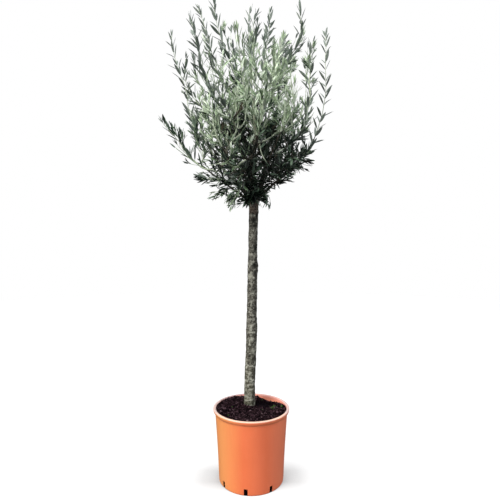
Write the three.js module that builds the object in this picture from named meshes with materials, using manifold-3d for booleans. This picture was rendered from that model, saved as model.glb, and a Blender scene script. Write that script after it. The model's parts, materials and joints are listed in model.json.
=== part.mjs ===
// Potted olive tree: a young standard olive with one clear stem and an open, upright crown,
// in a round tapered plastic nursery pot with a rolled rim and drain slots round its foot.
// Units are millimetres, +Z is up, and the origin is the middle of the pot's flat underside.
// The stem stands a little behind the middle of the pot and leans slightly to the right (+X).
// -Y is the side the tree is usually seen from.

import * as THREE from "three";
import { mergeVertices } from "three/addons/utils/BufferGeometryUtils.js";
import Module from "manifold-3d";

const wasm = await Module();
wasm.setup();

// ---- driving dimensions -------------------------------------------------------------------
const POT_HEIGHT = 281.5;
const POT_FOOT_RADIUS = 126.4;
const POT_WAIST_HEIGHT = 110; // above this the wall leans out more
const POT_WAIST_RADIUS = 131.2;
const POT_NECK_RADIUS = 142; // wall just under the rim
const RIM_RADIUS = 150;
const RIM_DEPTH = 15.5;
const RIM_MOUTH_RADIUS = 139.6;
const WALL = 2.6;
const FLOOR = 3;
const FOOT_BEVEL = 4;
const POT_SIDES = 32;

const SLOTS = 8;
const SLOT_WIDTH = 13.5;
const SLOT_HEIGHT = 24;
const SLOT_TURN = -99.5; // degrees, the slot nearest the front

const SOIL_EDGE = 271; // height of the compost where it meets the wall in front
const SOIL_MOUND = 2; // how much higher it is round the stem
const SOIL_HEAPS = [
  // x, y, spread, height: heaped at the left and the back, sunk at the back right
  [-85, 85, 75, 6.5],
  [-135, -10, 55, 4.5],
  [10, 138, 32, 4],
  [76, 120, 40, -10],
  [108, 88, 36, -3],
  [140, 20, 45, 3],
];
const SOIL_CLEAR = 0.5;

const STEM_FOOT = [-6, 44, 267];
const STEM_TOP = [9, 16, 1128];
const STEM_GIRTH = [
  // height, radius
  [267, 21.8],
  [420, 22.2],
  [560, 21.9],
  [700, 20.4],
  [800, 19.2],
  [900, 17.6],
  [950, 17.3],
  [1040, 18.7],
  [1128, 19.4],
];
const ROOT_FLARE = 6;
const STEM_KNOTS = [
  // height, turn in degrees, how far it stands out, half length
  [848, -12, 4.6, 24],
  [1032, -100, 3.5, 18],
  [560, 150, 3, 34],
];

const GAP = 0.9; // what a piece grows by before it cuts its neighbour
const SIMPLIFY = 0.12; // ripples under this are smoothed out of a cut
const SEED = 41;

// ---- small helpers --------------------------------------------------------------------------
const V = (p) => new THREE.Vector3(...p);

function random(seed) {
  let s = seed >>> 0;
  return () => {
    s = (s + 0x6d2b79f5) | 0;
    let t = Math.imul(s ^ (s >>> 15), 1 | s);
    t = (t + Math.imul(t ^ (t >>> 7), 61 | t)) ^ t;
    return ((t ^ (t >>> 14)) >>> 0) / 4294967296;
  };
}

function solidOf(geometry) {
  const bare = geometry.index ? geometry.toNonIndexed() : geometry.clone();
  bare.deleteAttribute("normal");
  bare.deleteAttribute("uv");
  const merged = mergeVertices(bare, 1e-3);
  return new wasm.Manifold(
    new wasm.Mesh({
      numProp: 3,
      vertProperties: merged.attributes.position.array,
      triVerts: new Uint32Array(merged.index.array),
    }),
  );
}

function geometryOf(solid) {
  const mesh = solid.getMesh();
  const points = new Float32Array(mesh.numVert * 3);
  for (let i = 0; i < mesh.numVert; i++)
    for (let k = 0; k < 3; k++)
      points[i * 3 + k] = mesh.vertProperties[i * mesh.numProp + k];
  const geometry = new THREE.BufferGeometry()
    .setAttribute("position", new THREE.BufferAttribute(points, 3))
    .setIndex(new THREE.BufferAttribute(new Uint32Array(mesh.triVerts), 1))
    .toNonIndexed();
  geometry.computeVertexNormals();
  return geometry;
}

// A limb: a capped cylinder whose rings are carried along a smooth curve.
function limbGeometry(points, radiusAt, sides, rings, grow = 0) {
  const curve = new THREE.CatmullRomCurve3(points.map(V), false, "centripetal");
  const geometry = new THREE.CylinderGeometry(1, 1, 1, sides, rings);
  const position = geometry.attributes.position;
  const across = new THREE.Vector3(0, 1, 0);
  for (let i = 0; i < position.count; i++) {
    const t = THREE.MathUtils.clamp(position.getY(i) + 0.5, 0, 1);
    const along = curve.getTangentAt(t);
    const u = new THREE.Vector3().crossVectors(across, along).normalize();
    const v = new THREE.Vector3().crossVectors(u, along);
    const x = position.getX(i);
    const z = position.getZ(i);
    const turn = Math.atan2(z, x);
    const r = Math.hypot(x, z) * (radiusAt(t, turn) + grow);
    const at = curve
      .getPointAt(t)
      .addScaledVector(u, r * Math.cos(turn))
      .addScaledVector(v, r * Math.sin(turn))
      .addScaledVector(along, (t - 0.5) * 2 * grow);
    position.setXYZ(i, at.x, at.y, at.z);
  }
  return geometry;
}

// A mass of leaves: a sphere drawn out from `from` to `to`, through `via` where it bends, with
// its own uneven outline. point is 0 for a rounded clump and near 1 for a spray that narrows
// to its tip.
function massGeometry(mass, grow = 0) {
  const geometry = new THREE.SphereGeometry(1, mass.sides, mass.rings);
  const position = geometry.attributes.position;
  const from = V(mass.from);
  const to = V(mass.to);
  const middle = from.clone().add(to).multiplyScalar(0.5);
  const bend = mass.via ? V(mass.via).multiplyScalar(2).sub(middle) : middle;
  const spine = new THREE.QuadraticBezierCurve3(from, bend, to);
  const side = Math.abs(to.x - from.x) > 0.8 * from.distanceTo(to) ? [0, 1, 0] : [1, 0, 0];
  const r = random(mass.seed);
  const phase = [r() * 6.283, r() * 6.283, r() * 6.283, r() * 6.283];
  for (let i = 0; i < position.count; i++) {
    const h = THREE.MathUtils.clamp(position.getY(i), -1, 1);
    const t = (h + 1) / 2;
    const turn = Math.atan2(position.getZ(i), position.getX(i));
    const ring = Math.sqrt(Math.max(0, 1 - h * h));
    const lump =
      1 +
      mass.lump *
        (0.5 * Math.sin(2 * turn + phase[0] + 2.1 * t) +
          0.3 * Math.sin(3 * turn + phase[1] - 3 * t) +
          0.35 * Math.sin(5.5 * t + phase[2] + Math.cos(turn + phase[3])));
    const taper = 1 - mass.point * 0.62 * t * t + mass.point * 0.12 * (1 - t);
    const radius = ring * (mass.radius * lump * taper + grow);
    const along = spine.getTangent(t);
    const u = new THREE.Vector3().crossVectors(along, V(side)).normalize();
    const v = new THREE.Vector3().crossVectors(u, along);
    const at = spine
      .getPoint(t)
      .addScaledVector(along, h * grow)
      .addScaledVector(u, radius * Math.cos(turn))
      .addScaledVector(v, radius * Math.sin(turn));
    position.setXYZ(i, at.x, at.y, at.z);
  }
  return geometry;
}

function largestBody(solid) {
  return solid
    .decompose()
    .reduce((best, body) => (body.volume() > best.volume() ? body : best));
}

function nearestBody(solid, point) {
  const distance = (body) => {
    const box = body.boundingBox();
    return Math.hypot(...point.map((p, k) => p - (box.min[k] + box.max[k]) / 2));
  };
  return solid
    .decompose()
    .filter((body) => body.volume() > 400)
    .reduce((best, body) => (distance(body) < distance(best) ? body : best));
}

// ---- pot ------------------------------------------------------------------------------------
const rimFoot = POT_HEIGHT - RIM_DEPTH;

function wallRadiusAt(z) {
  if (z < POT_WAIST_HEIGHT)
    return THREE.MathUtils.lerp(POT_FOOT_RADIUS, POT_WAIST_RADIUS, z / POT_WAIST_HEIGHT);
  const up = (z - POT_WAIST_HEIGHT) / (rimFoot - POT_WAIST_HEIGHT);
  return THREE.MathUtils.lerp(POT_WAIST_RADIUS, POT_NECK_RADIUS, up);
}

const potProfile = [
  [0, 0],
  [POT_FOOT_RADIUS - FOOT_BEVEL, 0],
  [wallRadiusAt(FOOT_BEVEL), FOOT_BEVEL],
  [POT_WAIST_RADIUS, POT_WAIST_HEIGHT],
  [POT_NECK_RADIUS, rimFoot],
  [RIM_RADIUS - 1, rimFoot],
  [RIM_RADIUS, POT_HEIGHT - 3.5],
  [RIM_RADIUS - 3, POT_HEIGHT],
  [RIM_MOUTH_RADIUS, POT_HEIGHT - 0.5],
  [wallRadiusAt(rimFoot - 4) - WALL, rimFoot - 4],
  [POT_WAIST_RADIUS - WALL, POT_WAIST_HEIGHT],
  [wallRadiusAt(FLOOR) - WALL, FLOOR],
  [0, FLOOR],
].map(([r, z]) => new THREE.Vector2(r, z));

function potSolid() {
  const pot = new THREE.LatheGeometry(potProfile, POT_SIDES).rotateX(Math.PI / 2);
  let solid = solidOf(pot);
  for (let i = 0; i < SLOTS; i++) {
    const turn = THREE.MathUtils.degToRad(SLOT_TURN + (360 / SLOTS) * i);
    const depth = 16;
    const cutter = new THREE.BoxGeometry(depth, SLOT_WIDTH, SLOT_HEIGHT + 2)
      .translate(POT_FOOT_RADIUS - FOOT_BEVEL - 1 + depth / 2, 0, SLOT_HEIGHT / 2 - 1)
      .rotateZ(turn);
    solid = solid.subtract(solidOf(cutter));
  }
  return solid;
}

// ---- compost --------------------------------------------------------------------------------
function soilHeight(x, y) {
  const stem = Math.hypot(x - STEM_FOOT[0], y - STEM_FOOT[1]);
  const edge = Math.hypot(x, y) / RIM_MOUTH_RADIUS;
  const mound = SOIL_MOUND * Math.exp(-Math.pow(stem / 62, 2));
  let heaped = 0;
  for (const [hx, hy, spread, height] of SOIL_HEAPS)
    heaped += height * Math.exp(-Math.pow(Math.hypot(x - hx, y - hy) / spread, 2));
  const uneven =
    1.6 * Math.sin(x / 17 + 1.3) * Math.cos(y / 21) + 1.2 * Math.sin((x + y) / 11 + 0.4);
  return SOIL_EDGE + mound + heaped + uneven * (1 - Math.pow(edge, 4));
}

function soilSolid(stem) {
  const low = FLOOR + SOIL_CLEAR;
  const inside = (z) => wallRadiusAt(z) - WALL - SOIL_CLEAR;
  const rings = [100, 56];
  const profile = [
    [0, low],
    [inside(low) - 0.3, low],
    [inside(POT_WAIST_HEIGHT) - 0.3, POT_WAIST_HEIGHT],
    [inside(rimFoot - 4) - 0.3, SOIL_EDGE],
    ...rings.map((r) => [r, SOIL_EDGE]),
    [0, SOIL_EDGE],
  ].map(([r, z]) => new THREE.Vector2(r, z));
  const geometry = new THREE.LatheGeometry(profile, POT_SIDES).rotateX(Math.PI / 2);
  const position = geometry.attributes.position;
  for (let i = 0; i < position.count; i++)
    if (position.getZ(i) > SOIL_EDGE - 1)
      position.setZ(i, soilHeight(position.getX(i), position.getY(i)));
  return largestBody(solidOf(geometry).subtract(stem));
}

// ---- stem -----------------------------------------------------------------------------------
const stemLine = [
  STEM_FOOT,
  [-6, 41.5, 370],
  [-2, 38.5, 450],
  [2, 34, 560],
  [3.5, 28, 720],
  [6, 22, 900],
  [8.5, 19.5, 965],
  [9.5, 18, 1030],
  STEM_TOP,
];

function girthAt(z) {
  const i = Math.max(1, STEM_GIRTH.findIndex(([height]) => height >= z));
  const [z0, r0] = STEM_GIRTH[i - 1];
  const [z1, r1] = STEM_GIRTH[i];
  return THREE.MathUtils.lerp(r0, r1, THREE.MathUtils.smoothstep(z, z0, z1));
}

function stemRadius(t, turn) {
  const z = THREE.MathUtils.lerp(STEM_FOOT[2], STEM_TOP[2], t);
  let r = girthAt(Math.min(z, STEM_TOP[2]));
  r += ROOT_FLARE * Math.exp(-t / 0.018) * (0.75 + 0.35 * Math.sin(3 * turn + 0.8));
  r += 0.7 * Math.sin(2 * turn + 5 * t) + 0.5 * Math.sin(9 * t + turn);
  r += 2.5 * Math.exp(-Math.pow((1 - t) / 0.04, 2)); // swelling under the fork
  for (const [height, degrees, out, half] of STEM_KNOTS) {
    const away = Math.cos(turn - THREE.MathUtils.degToRad(degrees));
    r += out * Math.max(0, away) ** 3 * Math.exp(-Math.pow((z - height) / half, 2));
  }
  return r;
}

// ---- boughs ---------------------------------------------------------------------------------
// name, points from the fork outwards, radius at the start and at the end
const boughs = [
  ["bough_centre", [[9, 14, 1112], [4, 2, 1215], [8, -8, 1290], [15, -14, 1338]], 13.5, 7.5],
  ["bough_left", [[6, 10, 1112], [-48, -18, 1182], [-88, -48, 1246], [-94, -62, 1308]], 9.5, 4.5],
  ["bough_front_right", [[14, 8, 1110], [44, -28, 1186], [80, -70, 1276], [118, -96, 1370]], 8.5, 4.2],
  ["bough_far_left", [[2, 14, 1120], [-70, 12, 1178], [-140, 2, 1262], [-184, -4, 1348]], 9, 4.2],
  ["bough_low_left", [[0, 20, 1102], [-74, 22, 1146], [-140, 4, 1192], [-196, -10, 1226]], 8, 3.6],
  ["bough_low_right", [[14, 18, 1108], [82, 20, 1160], [158, 14, 1222], [214, 12, 1296]], 9.5, 4.2],
  ["bough_back_left", [[4, 22, 1112], [-40, 76, 1184], [-78, 120, 1270], [-92, 142, 1356]], 9, 4.2],
  ["bough_back_right", [[12, 22, 1114], [56, 78, 1190], [92, 128, 1280], [104, 150, 1362]], 9, 4.2],
];

// ---- masses of leaves -----------------------------------------------------------------------
// The body of the crown stands in rings round the upright through its middle:
// name, height, ring radius, first turn in degrees, number, radius, half height
const CROWN_MIDDLE = [4, 2];
const rings = [
  ["low", 1160, 82, 30, 3, 57, 54],
  ["lower", 1258, 132, -36, 5, 88, 80],
  ["middle", 1396, 138, -95, 6, 92, 92],
  ["heart", 1412, 0, 0, 1, 88, 100],
  ["upper", 1545, 104, -60, 4, 92, 98],
  ["crest", 1612, 0, 0, 1, 74, 84],
];

// The sprays that stand out of it: name, from, through, to, radius, how pointed
const sprays = [
  ["left_wand", [-150, -4, 1300], [-252, -4, 1470], [-318, -10, 1766], 37, 0.6],
  ["left_second_wand", [-170, 8, 1440], [-228, 12, 1550], [-262, 14, 1678], 32, 0.5],
  ["left_inner_wand", [-132, -36, 1470], [-196, -62, 1640], [-230, -80, 1786], 40, 0.5],
  ["left_back_wand", [-96, 20, 1560], [-178, 44, 1710], [-226, 60, 1906], 38, 0.6],
  ["left_tall_wand", [-64, -10, 1590], [-112, -26, 1730], [-146, -40, 1882], 36, 0.6],
  ["left_middle_wand", [-30, 90, 1560], [-66, 142, 1710], [-92, 176, 1884], 38, 0.6],
  ["top_wand", [-4, 12, 1640], [-6, 30, 1770], [1, 40, 1910], 29, 0.7],
  ["top_front_wand", [6, -40, 1600], [10, -62, 1710], [22, -74, 1808], 38, 0.5],
  ["top_right_wand", [44, 30, 1600], [66, 44, 1750], [76, 54, 1894], 37, 0.6],
  ["right_middle_wand", [86, 70, 1560], [124, 108, 1690], [140, 124, 1828], 38, 0.5],
  ["right_tall_wand", [104, -2, 1560], [158, -2, 1700], [198, -6, 1886], 40, 0.6],
  ["right_wand", [146, -50, 1400], [212, -66, 1540], [232, -76, 1706], 42, 0.5],
  ["far_right_wand", [170, 6, 1250], [282, 12, 1450], [300, 8, 1784], 40, 0.6],
  ["left_low_wand", [-150, -14, 1224], [-262, -22, 1296], [-360, -26, 1438], 37, 0.5],
  ["left_low_spray", [-104, -44, 1174], [-160, -52, 1176], [-216, -58, 1188], 32, 0.3],
  ["left_foot_spray", [-76, 34, 1156], [-118, 32, 1136], [-162, 30, 1114], 34, 0.3],
  ["foot_spray", [-40, -64, 1140], [-60, -60, 1104], [-80, -52, 1064], 28, 0.4],
  ["right_foot_spray", [48, -54, 1140], [58, -44, 1106], [68, -32, 1070], 26, 0.4],
  ["right_low_spray", [72, 24, 1198], [118, 32, 1188], [164, 38, 1178], 33, 0.4],
  ["right_low_wand", [140, -26, 1264], [190, -34, 1252], [236, -40, 1232], 37, 0.4],
  ["right_front_spray", [150, -64, 1310], [196, -78, 1356], [228, -88, 1432], 36, 0.4],
  ["front_wand", [36, -120, 1400], [72, -190, 1500], [106, -236, 1636], 42, 0.5],
  ["front_left_wand", [-60, -120, 1360], [-104, -204, 1430], [-136, -264, 1530], 44, 0.5],
  ["front_tall_wand", [-24, -110, 1480], [-40, -160, 1590], [-52, -192, 1694], 40, 0.5],
  ["front_low_spray", [14, -120, 1262], [22, -200, 1276], [30, -276, 1300], 44, 0.4],
  ["back_wand", [14, 110, 1430], [16, 204, 1590], [16, 268, 1800], 44, 0.6],
  ["back_left_wand", [-90, 100, 1370], [-160, 176, 1480], [-226, 232, 1640], 44, 0.5],
  ["back_right_wand", [92, 104, 1340], [164, 180, 1440], [228, 234, 1600], 46, 0.5],
  ["back_low_spray", [-10, 120, 1256], [-16, 210, 1262], [-30, 286, 1290], 42, 0.4],
];

function massTable() {
  const next = random(SEED);
  const table = [];
  for (const [label, height, ring, first, count, radius, half] of rings)
    for (let i = 0; i < count; i++) {
      const turn = THREE.MathUtils.degToRad(first + (360 / count) * i + (count > 1 ? 10 * (next() - 0.5) : 0));
      const out = ring * (0.94 + 0.12 * next());
      const x = CROWN_MIDDLE[0] + out * Math.cos(turn);
      const y = CROWN_MIDDLE[1] + out * Math.sin(turn);
      const lean = count > 1 ? 0.34 * half : 0;
      const z = height + 16 * (next() - 0.5);
      table.push({
        name: count > 1 ? `leaves_${label}_${i + 1}` : `leaves_${label}`,
        from: [x - lean * Math.cos(turn), y - lean * Math.sin(turn), z - half],
        to: [x + lean * Math.cos(turn), y + lean * Math.sin(turn), z + half],
        radius: radius * (0.94 + 0.14 * next()),
        point: 0.3,
        lump: 0.26,
        sides: count > 1 ? 9 : 7,
        rings: 7,
        seed: 1000 + table.length * 17,
        clump: { middle: [x, y, z], radius: (radius + half) / 2 },
      });
    }
  for (const [label, from, via, to, radius, point] of sprays)
    table.push({
      name: `leaves_${label}`,
      from,
      via,
      to,
      radius,
      point,
      lump: 0.22,
      sides: 7,
      rings: label.startsWith("back") ? 6 : 7,
      seed: 2000 + table.length * 23,
    });
  return table;
}

// ---- assembly -------------------------------------------------------------------------------
const colours = {
  pot: new THREE.MeshStandardMaterial({ color: 0xe07848, roughness: 0.45, metalness: 0 }),
  soil: new THREE.MeshStandardMaterial({ color: 0x2a1f1e, roughness: 0.95, metalness: 0 }),
  bark: new THREE.MeshStandardMaterial({ color: 0x6e6a5e, roughness: 0.85, metalness: 0 }),
  leaf: new THREE.MeshStandardMaterial({ color: 0x77866f, roughness: 0.6, metalness: 0 }),
};

const tree = new THREE.Group();
tree.name = "potted_olive_tree";

function add(name, solid, material) {
  const mesh = new THREE.Mesh(geometryOf(solid), material.clone());
  mesh.name = name;
  tree.add(mesh);
}

const cutters = []; // grown copies of what stands already, each with its box

function standing(solid) {
  const box = solid.boundingBox();
  cutters.push({ solid, low: box.min, high: box.max });
}

function cutByNeighbours(solid, near) {
  const box = solid.boundingBox();
  for (const c of cutters)
    if ([0, 1, 2].every((k) => box.min[k] < c.high[k] && c.low[k] < box.max[k]))
      solid = solid.subtract(c.solid);
  solid = solid.simplify(SIMPLIFY);
  return near ? nearestBody(solid, near) : largestBody(solid);
}

// Two clumps that press together meet on a plane between their middles, nearer the smaller.
function partedClump(mass, table) {
  let solid = solidOf(massGeometry(mass));
  for (const other of table) {
    if (other === mass || !other.clump) continue;
    const away = V(other.clump.middle).sub(V(mass.clump.middle));
    const d = away.length();
    if (d > 1.25 * (mass.clump.radius + other.clump.radius)) continue;
    const share = (d + (mass.clump.radius ** 2 - other.clump.radius ** 2) / d) / 2;
    away.divideScalar(d);
    const plane = V(mass.clump.middle).dot(away) + share - GAP / 2;
    solid = solid.trimByPlane([-away.x, -away.y, -away.z], -plane);
  }
  return solid;
}

add("pot", potSolid(), colours.pot);

const stemRings = 19;
const stemSides = 10;
const grownStem = solidOf(limbGeometry(stemLine, stemRadius, stemSides, stemRings, GAP));
add("soil", soilSolid(grownStem), colours.soil);
add("trunk", solidOf(limbGeometry(stemLine, stemRadius, stemSides, stemRings)), colours.bark);
standing(grownStem);

const masses = massTable();
const clumps = masses.filter((mass) => mass.clump);
for (const mass of clumps) add(mass.name, cutByNeighbours(partedClump(mass, clumps)), colours.leaf);
for (const mass of clumps) standing(solidOf(massGeometry(mass, GAP)));
for (const mass of masses.filter((each) => !each.clump)) {
  add(mass.name, cutByNeighbours(solidOf(massGeometry(mass))), colours.leaf);
  standing(solidOf(massGeometry(mass, GAP)));
}

// A bough runs from the fork to where it enters the first mass on its way.
for (const [name, points, start, end] of boughs) {
  const radiusAt = (t) => THREE.MathUtils.lerp(start, end, Math.pow(t, 0.8));
  const limb = solidOf(limbGeometry(points, radiusAt, 6, 7));
  add(name, cutByNeighbours(limb, points[0]), colours.bark);
  standing(solidOf(limbGeometry(points, radiusAt, 6, 7, GAP)));
}

export default tree;
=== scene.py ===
"""Potted olive tree: the looks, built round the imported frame.

Sizes in the tables are millimetres, as in the CAD source. The crown is grown by a seeded rule:
boughs run on from the fork, leaders follow each spray, and shoots grow from the nearest limb to
places inside each mass of leaves, with opposite leaves along them.
"""

import json
import math

import bpy
import numpy as np
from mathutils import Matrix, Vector
from mathutils.bvhtree import BVHTree

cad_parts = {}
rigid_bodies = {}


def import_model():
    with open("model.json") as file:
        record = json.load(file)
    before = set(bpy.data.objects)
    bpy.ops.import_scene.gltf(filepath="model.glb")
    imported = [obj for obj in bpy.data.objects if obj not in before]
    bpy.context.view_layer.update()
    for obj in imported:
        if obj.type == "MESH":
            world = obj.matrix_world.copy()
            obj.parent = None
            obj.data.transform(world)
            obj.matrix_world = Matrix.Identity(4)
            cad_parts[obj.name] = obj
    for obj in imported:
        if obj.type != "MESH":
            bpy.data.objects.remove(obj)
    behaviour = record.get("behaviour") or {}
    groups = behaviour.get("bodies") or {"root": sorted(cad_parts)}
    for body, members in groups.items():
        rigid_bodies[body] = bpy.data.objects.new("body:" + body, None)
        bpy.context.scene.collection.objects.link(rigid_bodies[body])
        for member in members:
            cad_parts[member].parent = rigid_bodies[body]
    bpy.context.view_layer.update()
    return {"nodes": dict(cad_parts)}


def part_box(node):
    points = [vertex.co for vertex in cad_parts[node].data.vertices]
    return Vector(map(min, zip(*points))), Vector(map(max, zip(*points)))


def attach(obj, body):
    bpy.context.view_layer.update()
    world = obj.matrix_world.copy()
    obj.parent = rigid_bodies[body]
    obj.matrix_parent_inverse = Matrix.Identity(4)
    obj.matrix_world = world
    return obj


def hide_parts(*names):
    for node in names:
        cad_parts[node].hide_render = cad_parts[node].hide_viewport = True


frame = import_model()

MM = 0.001
rng = np.random.default_rng(77)

# ---------------------------------------------------------------------------------------------
# sizes, as in the CAD source (mm)
# ---------------------------------------------------------------------------------------------
POT_HEIGHT = 281.5
POT_FOOT_RADIUS = 126.4
POT_WAIST_HEIGHT = 110.0
POT_WAIST_RADIUS = 131.2
POT_NECK_RADIUS = 142.0
RIM_RADIUS = 150.0
RIM_DEPTH = 15.5
RIM_MOUTH_RADIUS = 139.6
WALL = 2.6
FLOOR = 3.0
SLOTS = 8
SLOT_WIDTH = 14.5
SLOT_HEIGHT = 27.0
SLOT_TURN = -99.5
SOIL_EDGE = 271.0
SOIL_MOUND = 2.0
SOIL_HEAPS = [  # x, y, spread, height
    (-85, 85, 75, 9.5),
    (-135, -10, 55, 6.5),
    (10, 138, 32, 4),
    (76, 120, 40, -10),
    (108, 88, 36, -3),
    (140, 20, 45, 3),
]

STEM_LINE = [
    (-6, 44, 267),
    (-6, 41.5, 370),
    (-2, 38.5, 450),
    (2, 34, 560),
    (3.5, 28, 720),
    (6, 22, 900),
    (8.5, 19.5, 965),
    (9.5, 18, 1030),
    (9, 16, 1128),
]

# whole routes of the boughs, on through the masses: name, points, radius at start and end
BOUGHS = [
    ("bough_centre", [(9, 16, 1096), (4, 2, 1215), (8, -8, 1290), (15, -14, 1338), (12, -6, 1420), (4, 8, 1520), (-2, 14, 1600)], 13.0, 4.2),
    ("bough_left", [(7, 14, 1092), (-48, -18, 1182), (-88, -48, 1246), (-94, -62, 1308), (-84, -72, 1372), (-66, -70, 1450)], 9.5, 3.2),
    ("bough_front_right", [(12, 12, 1092), (44, -28, 1186), (80, -70, 1276), (118, -96, 1370), (128, -92, 1450)], 8.5, 3.2),
    ("bough_far_left", [(5, 16, 1094), (-70, 12, 1178), (-140, 2, 1262), (-184, -4, 1348)], 8.5, 3.4),
    ("bough_low_left", [(5, 18, 1090), (-74, 22, 1146), (-140, 4, 1192), (-196, -10, 1236)], 7.0, 3.0),
    ("bough_low_right", [(12, 18, 1090), (82, 20, 1160), (158, 14, 1222), (214, 12, 1296)], 9.0, 3.6),
    ("bough_back_left", [(7, 20, 1094), (-40, 76, 1184), (-78, 120, 1270), (-92, 142, 1370)], 8.5, 3.4),
    ("bough_back_right", [(12, 20, 1094), (56, 78, 1190), (92, 128, 1280), (104, 150, 1370)], 8.5, 3.4),
]
# limbs that fork from those, seen pale among the leaves
FORKS = [
    ("fork_up", [(14, -12, 1340), (40, 10, 1410), (58, 26, 1500), (66, 34, 1590)], 5.2, 2.6),
    ("fork_left_up", [(-112, 6, 1230), (-124, 26, 1330), (-128, 30, 1430), (-120, 26, 1520)], 4.8, 2.5),
    ("fork_left_front", [(-90, -52, 1262), (-130, -90, 1330), (-146, -110, 1400)], 4.4, 2.4),
    ("fork_right_up", [(150, 14, 1214), (164, 6, 1310), (158, 0, 1420), (140, 0, 1520)], 5.2, 2.6),
    ("fork_back", [(8, 4, 1230), (12, 70, 1310), (12, 120, 1400), (14, 140, 1480)], 5.6, 2.7),
    ("fork_front", [(8, -4, 1270), (20, -70, 1320), (34, -120, 1380), (40, -130, 1440)], 5.0, 2.5),
]

# name, from, through, to, radius, as in the CAD source
SPRAYS = {
    "left_wand": ((-150, -4, 1300), (-252, -4, 1470), (-318, -10, 1766), 37),
    "left_second_wand": ((-170, 8, 1440), (-228, 12, 1550), (-262, 14, 1678), 32),
    "left_inner_wand": ((-132, -36, 1470), (-196, -62, 1640), (-230, -80, 1786), 40),
    "left_back_wand": ((-96, 20, 1560), (-178, 44, 1710), (-226, 60, 1906), 38),
    "left_tall_wand": ((-64, -10, 1590), (-112, -26, 1730), (-146, -40, 1882), 36),
    "left_middle_wand": ((-30, 90, 1560), (-66, 142, 1710), (-92, 176, 1884), 38),
    "top_wand": ((-4, 12, 1640), (-6, 30, 1770), (1, 40, 1910), 29),
    "top_front_wand": ((6, -40, 1600), (10, -62, 1710), (22, -74, 1808), 38),
    "top_right_wand": ((44, 30, 1600), (66, 44, 1750), (76, 54, 1894), 37),
    "right_middle_wand": ((86, 70, 1560), (124, 108, 1690), (140, 124, 1828), 38),
    "right_tall_wand": ((104, -2, 1560), (158, -2, 1700), (198, -6, 1886), 40),
    "right_wand": ((146, -50, 1400), (212, -66, 1540), (232, -76, 1706), 42),
    "far_right_wand": ((170, 6, 1250), (282, 12, 1450), (300, 8, 1784), 40),
    "left_low_wand": ((-150, -14, 1224), (-262, -22, 1296), (-360, -26, 1438), 37),
    "left_low_spray": ((-104, -44, 1174), (-160, -52, 1176), (-216, -58, 1188), 32),
    "left_foot_spray": ((-76, 34, 1156), (-118, 32, 1136), (-162, 30, 1114), 34),
    "foot_spray": ((-40, -64, 1140), (-60, -60, 1104), (-80, -52, 1064), 28),
    "right_foot_spray": ((48, -54, 1140), (58, -44, 1106), (68, -32, 1070), 26),
    "right_low_spray": ((72, 24, 1198), (118, 32, 1188), (164, 38, 1178), 33),
    "right_low_wand": ((140, -26, 1264), (190, -34, 1252), (236, -40, 1232), 37),
    "right_front_spray": ((150, -64, 1310), (196, -78, 1356), (228, -88, 1432), 36),
    "front_wand": ((36, -120, 1400), (72, -190, 1500), (106, -236, 1636), 42),
    "front_left_wand": ((-60, -120, 1360), (-104, -204, 1430), (-136, -264, 1530), 44),
    "front_tall_wand": ((-24, -110, 1480), (-40, -160, 1590), (-52, -192, 1694), 40),
    "front_low_spray": ((14, -120, 1262), (22, -200, 1276), (30, -276, 1300), 44),
    "back_wand": ((14, 110, 1430), (16, 204, 1590), (16, 268, 1800), 44),
    "back_left_wand": ((-90, 100, 1370), (-160, 176, 1480), (-226, 232, 1640), 44),
    "back_right_wand": ((92, 104, 1340), (164, 180, 1440), (228, 234, 1600), 46),
    "back_low_spray": ((-10, 120, 1256), (-16, 210, 1262), (-30, 286, 1290), 42),
}
HANGING = {"foot_spray", "right_foot_spray", "left_foot_spray", "right_low_spray"}

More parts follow.
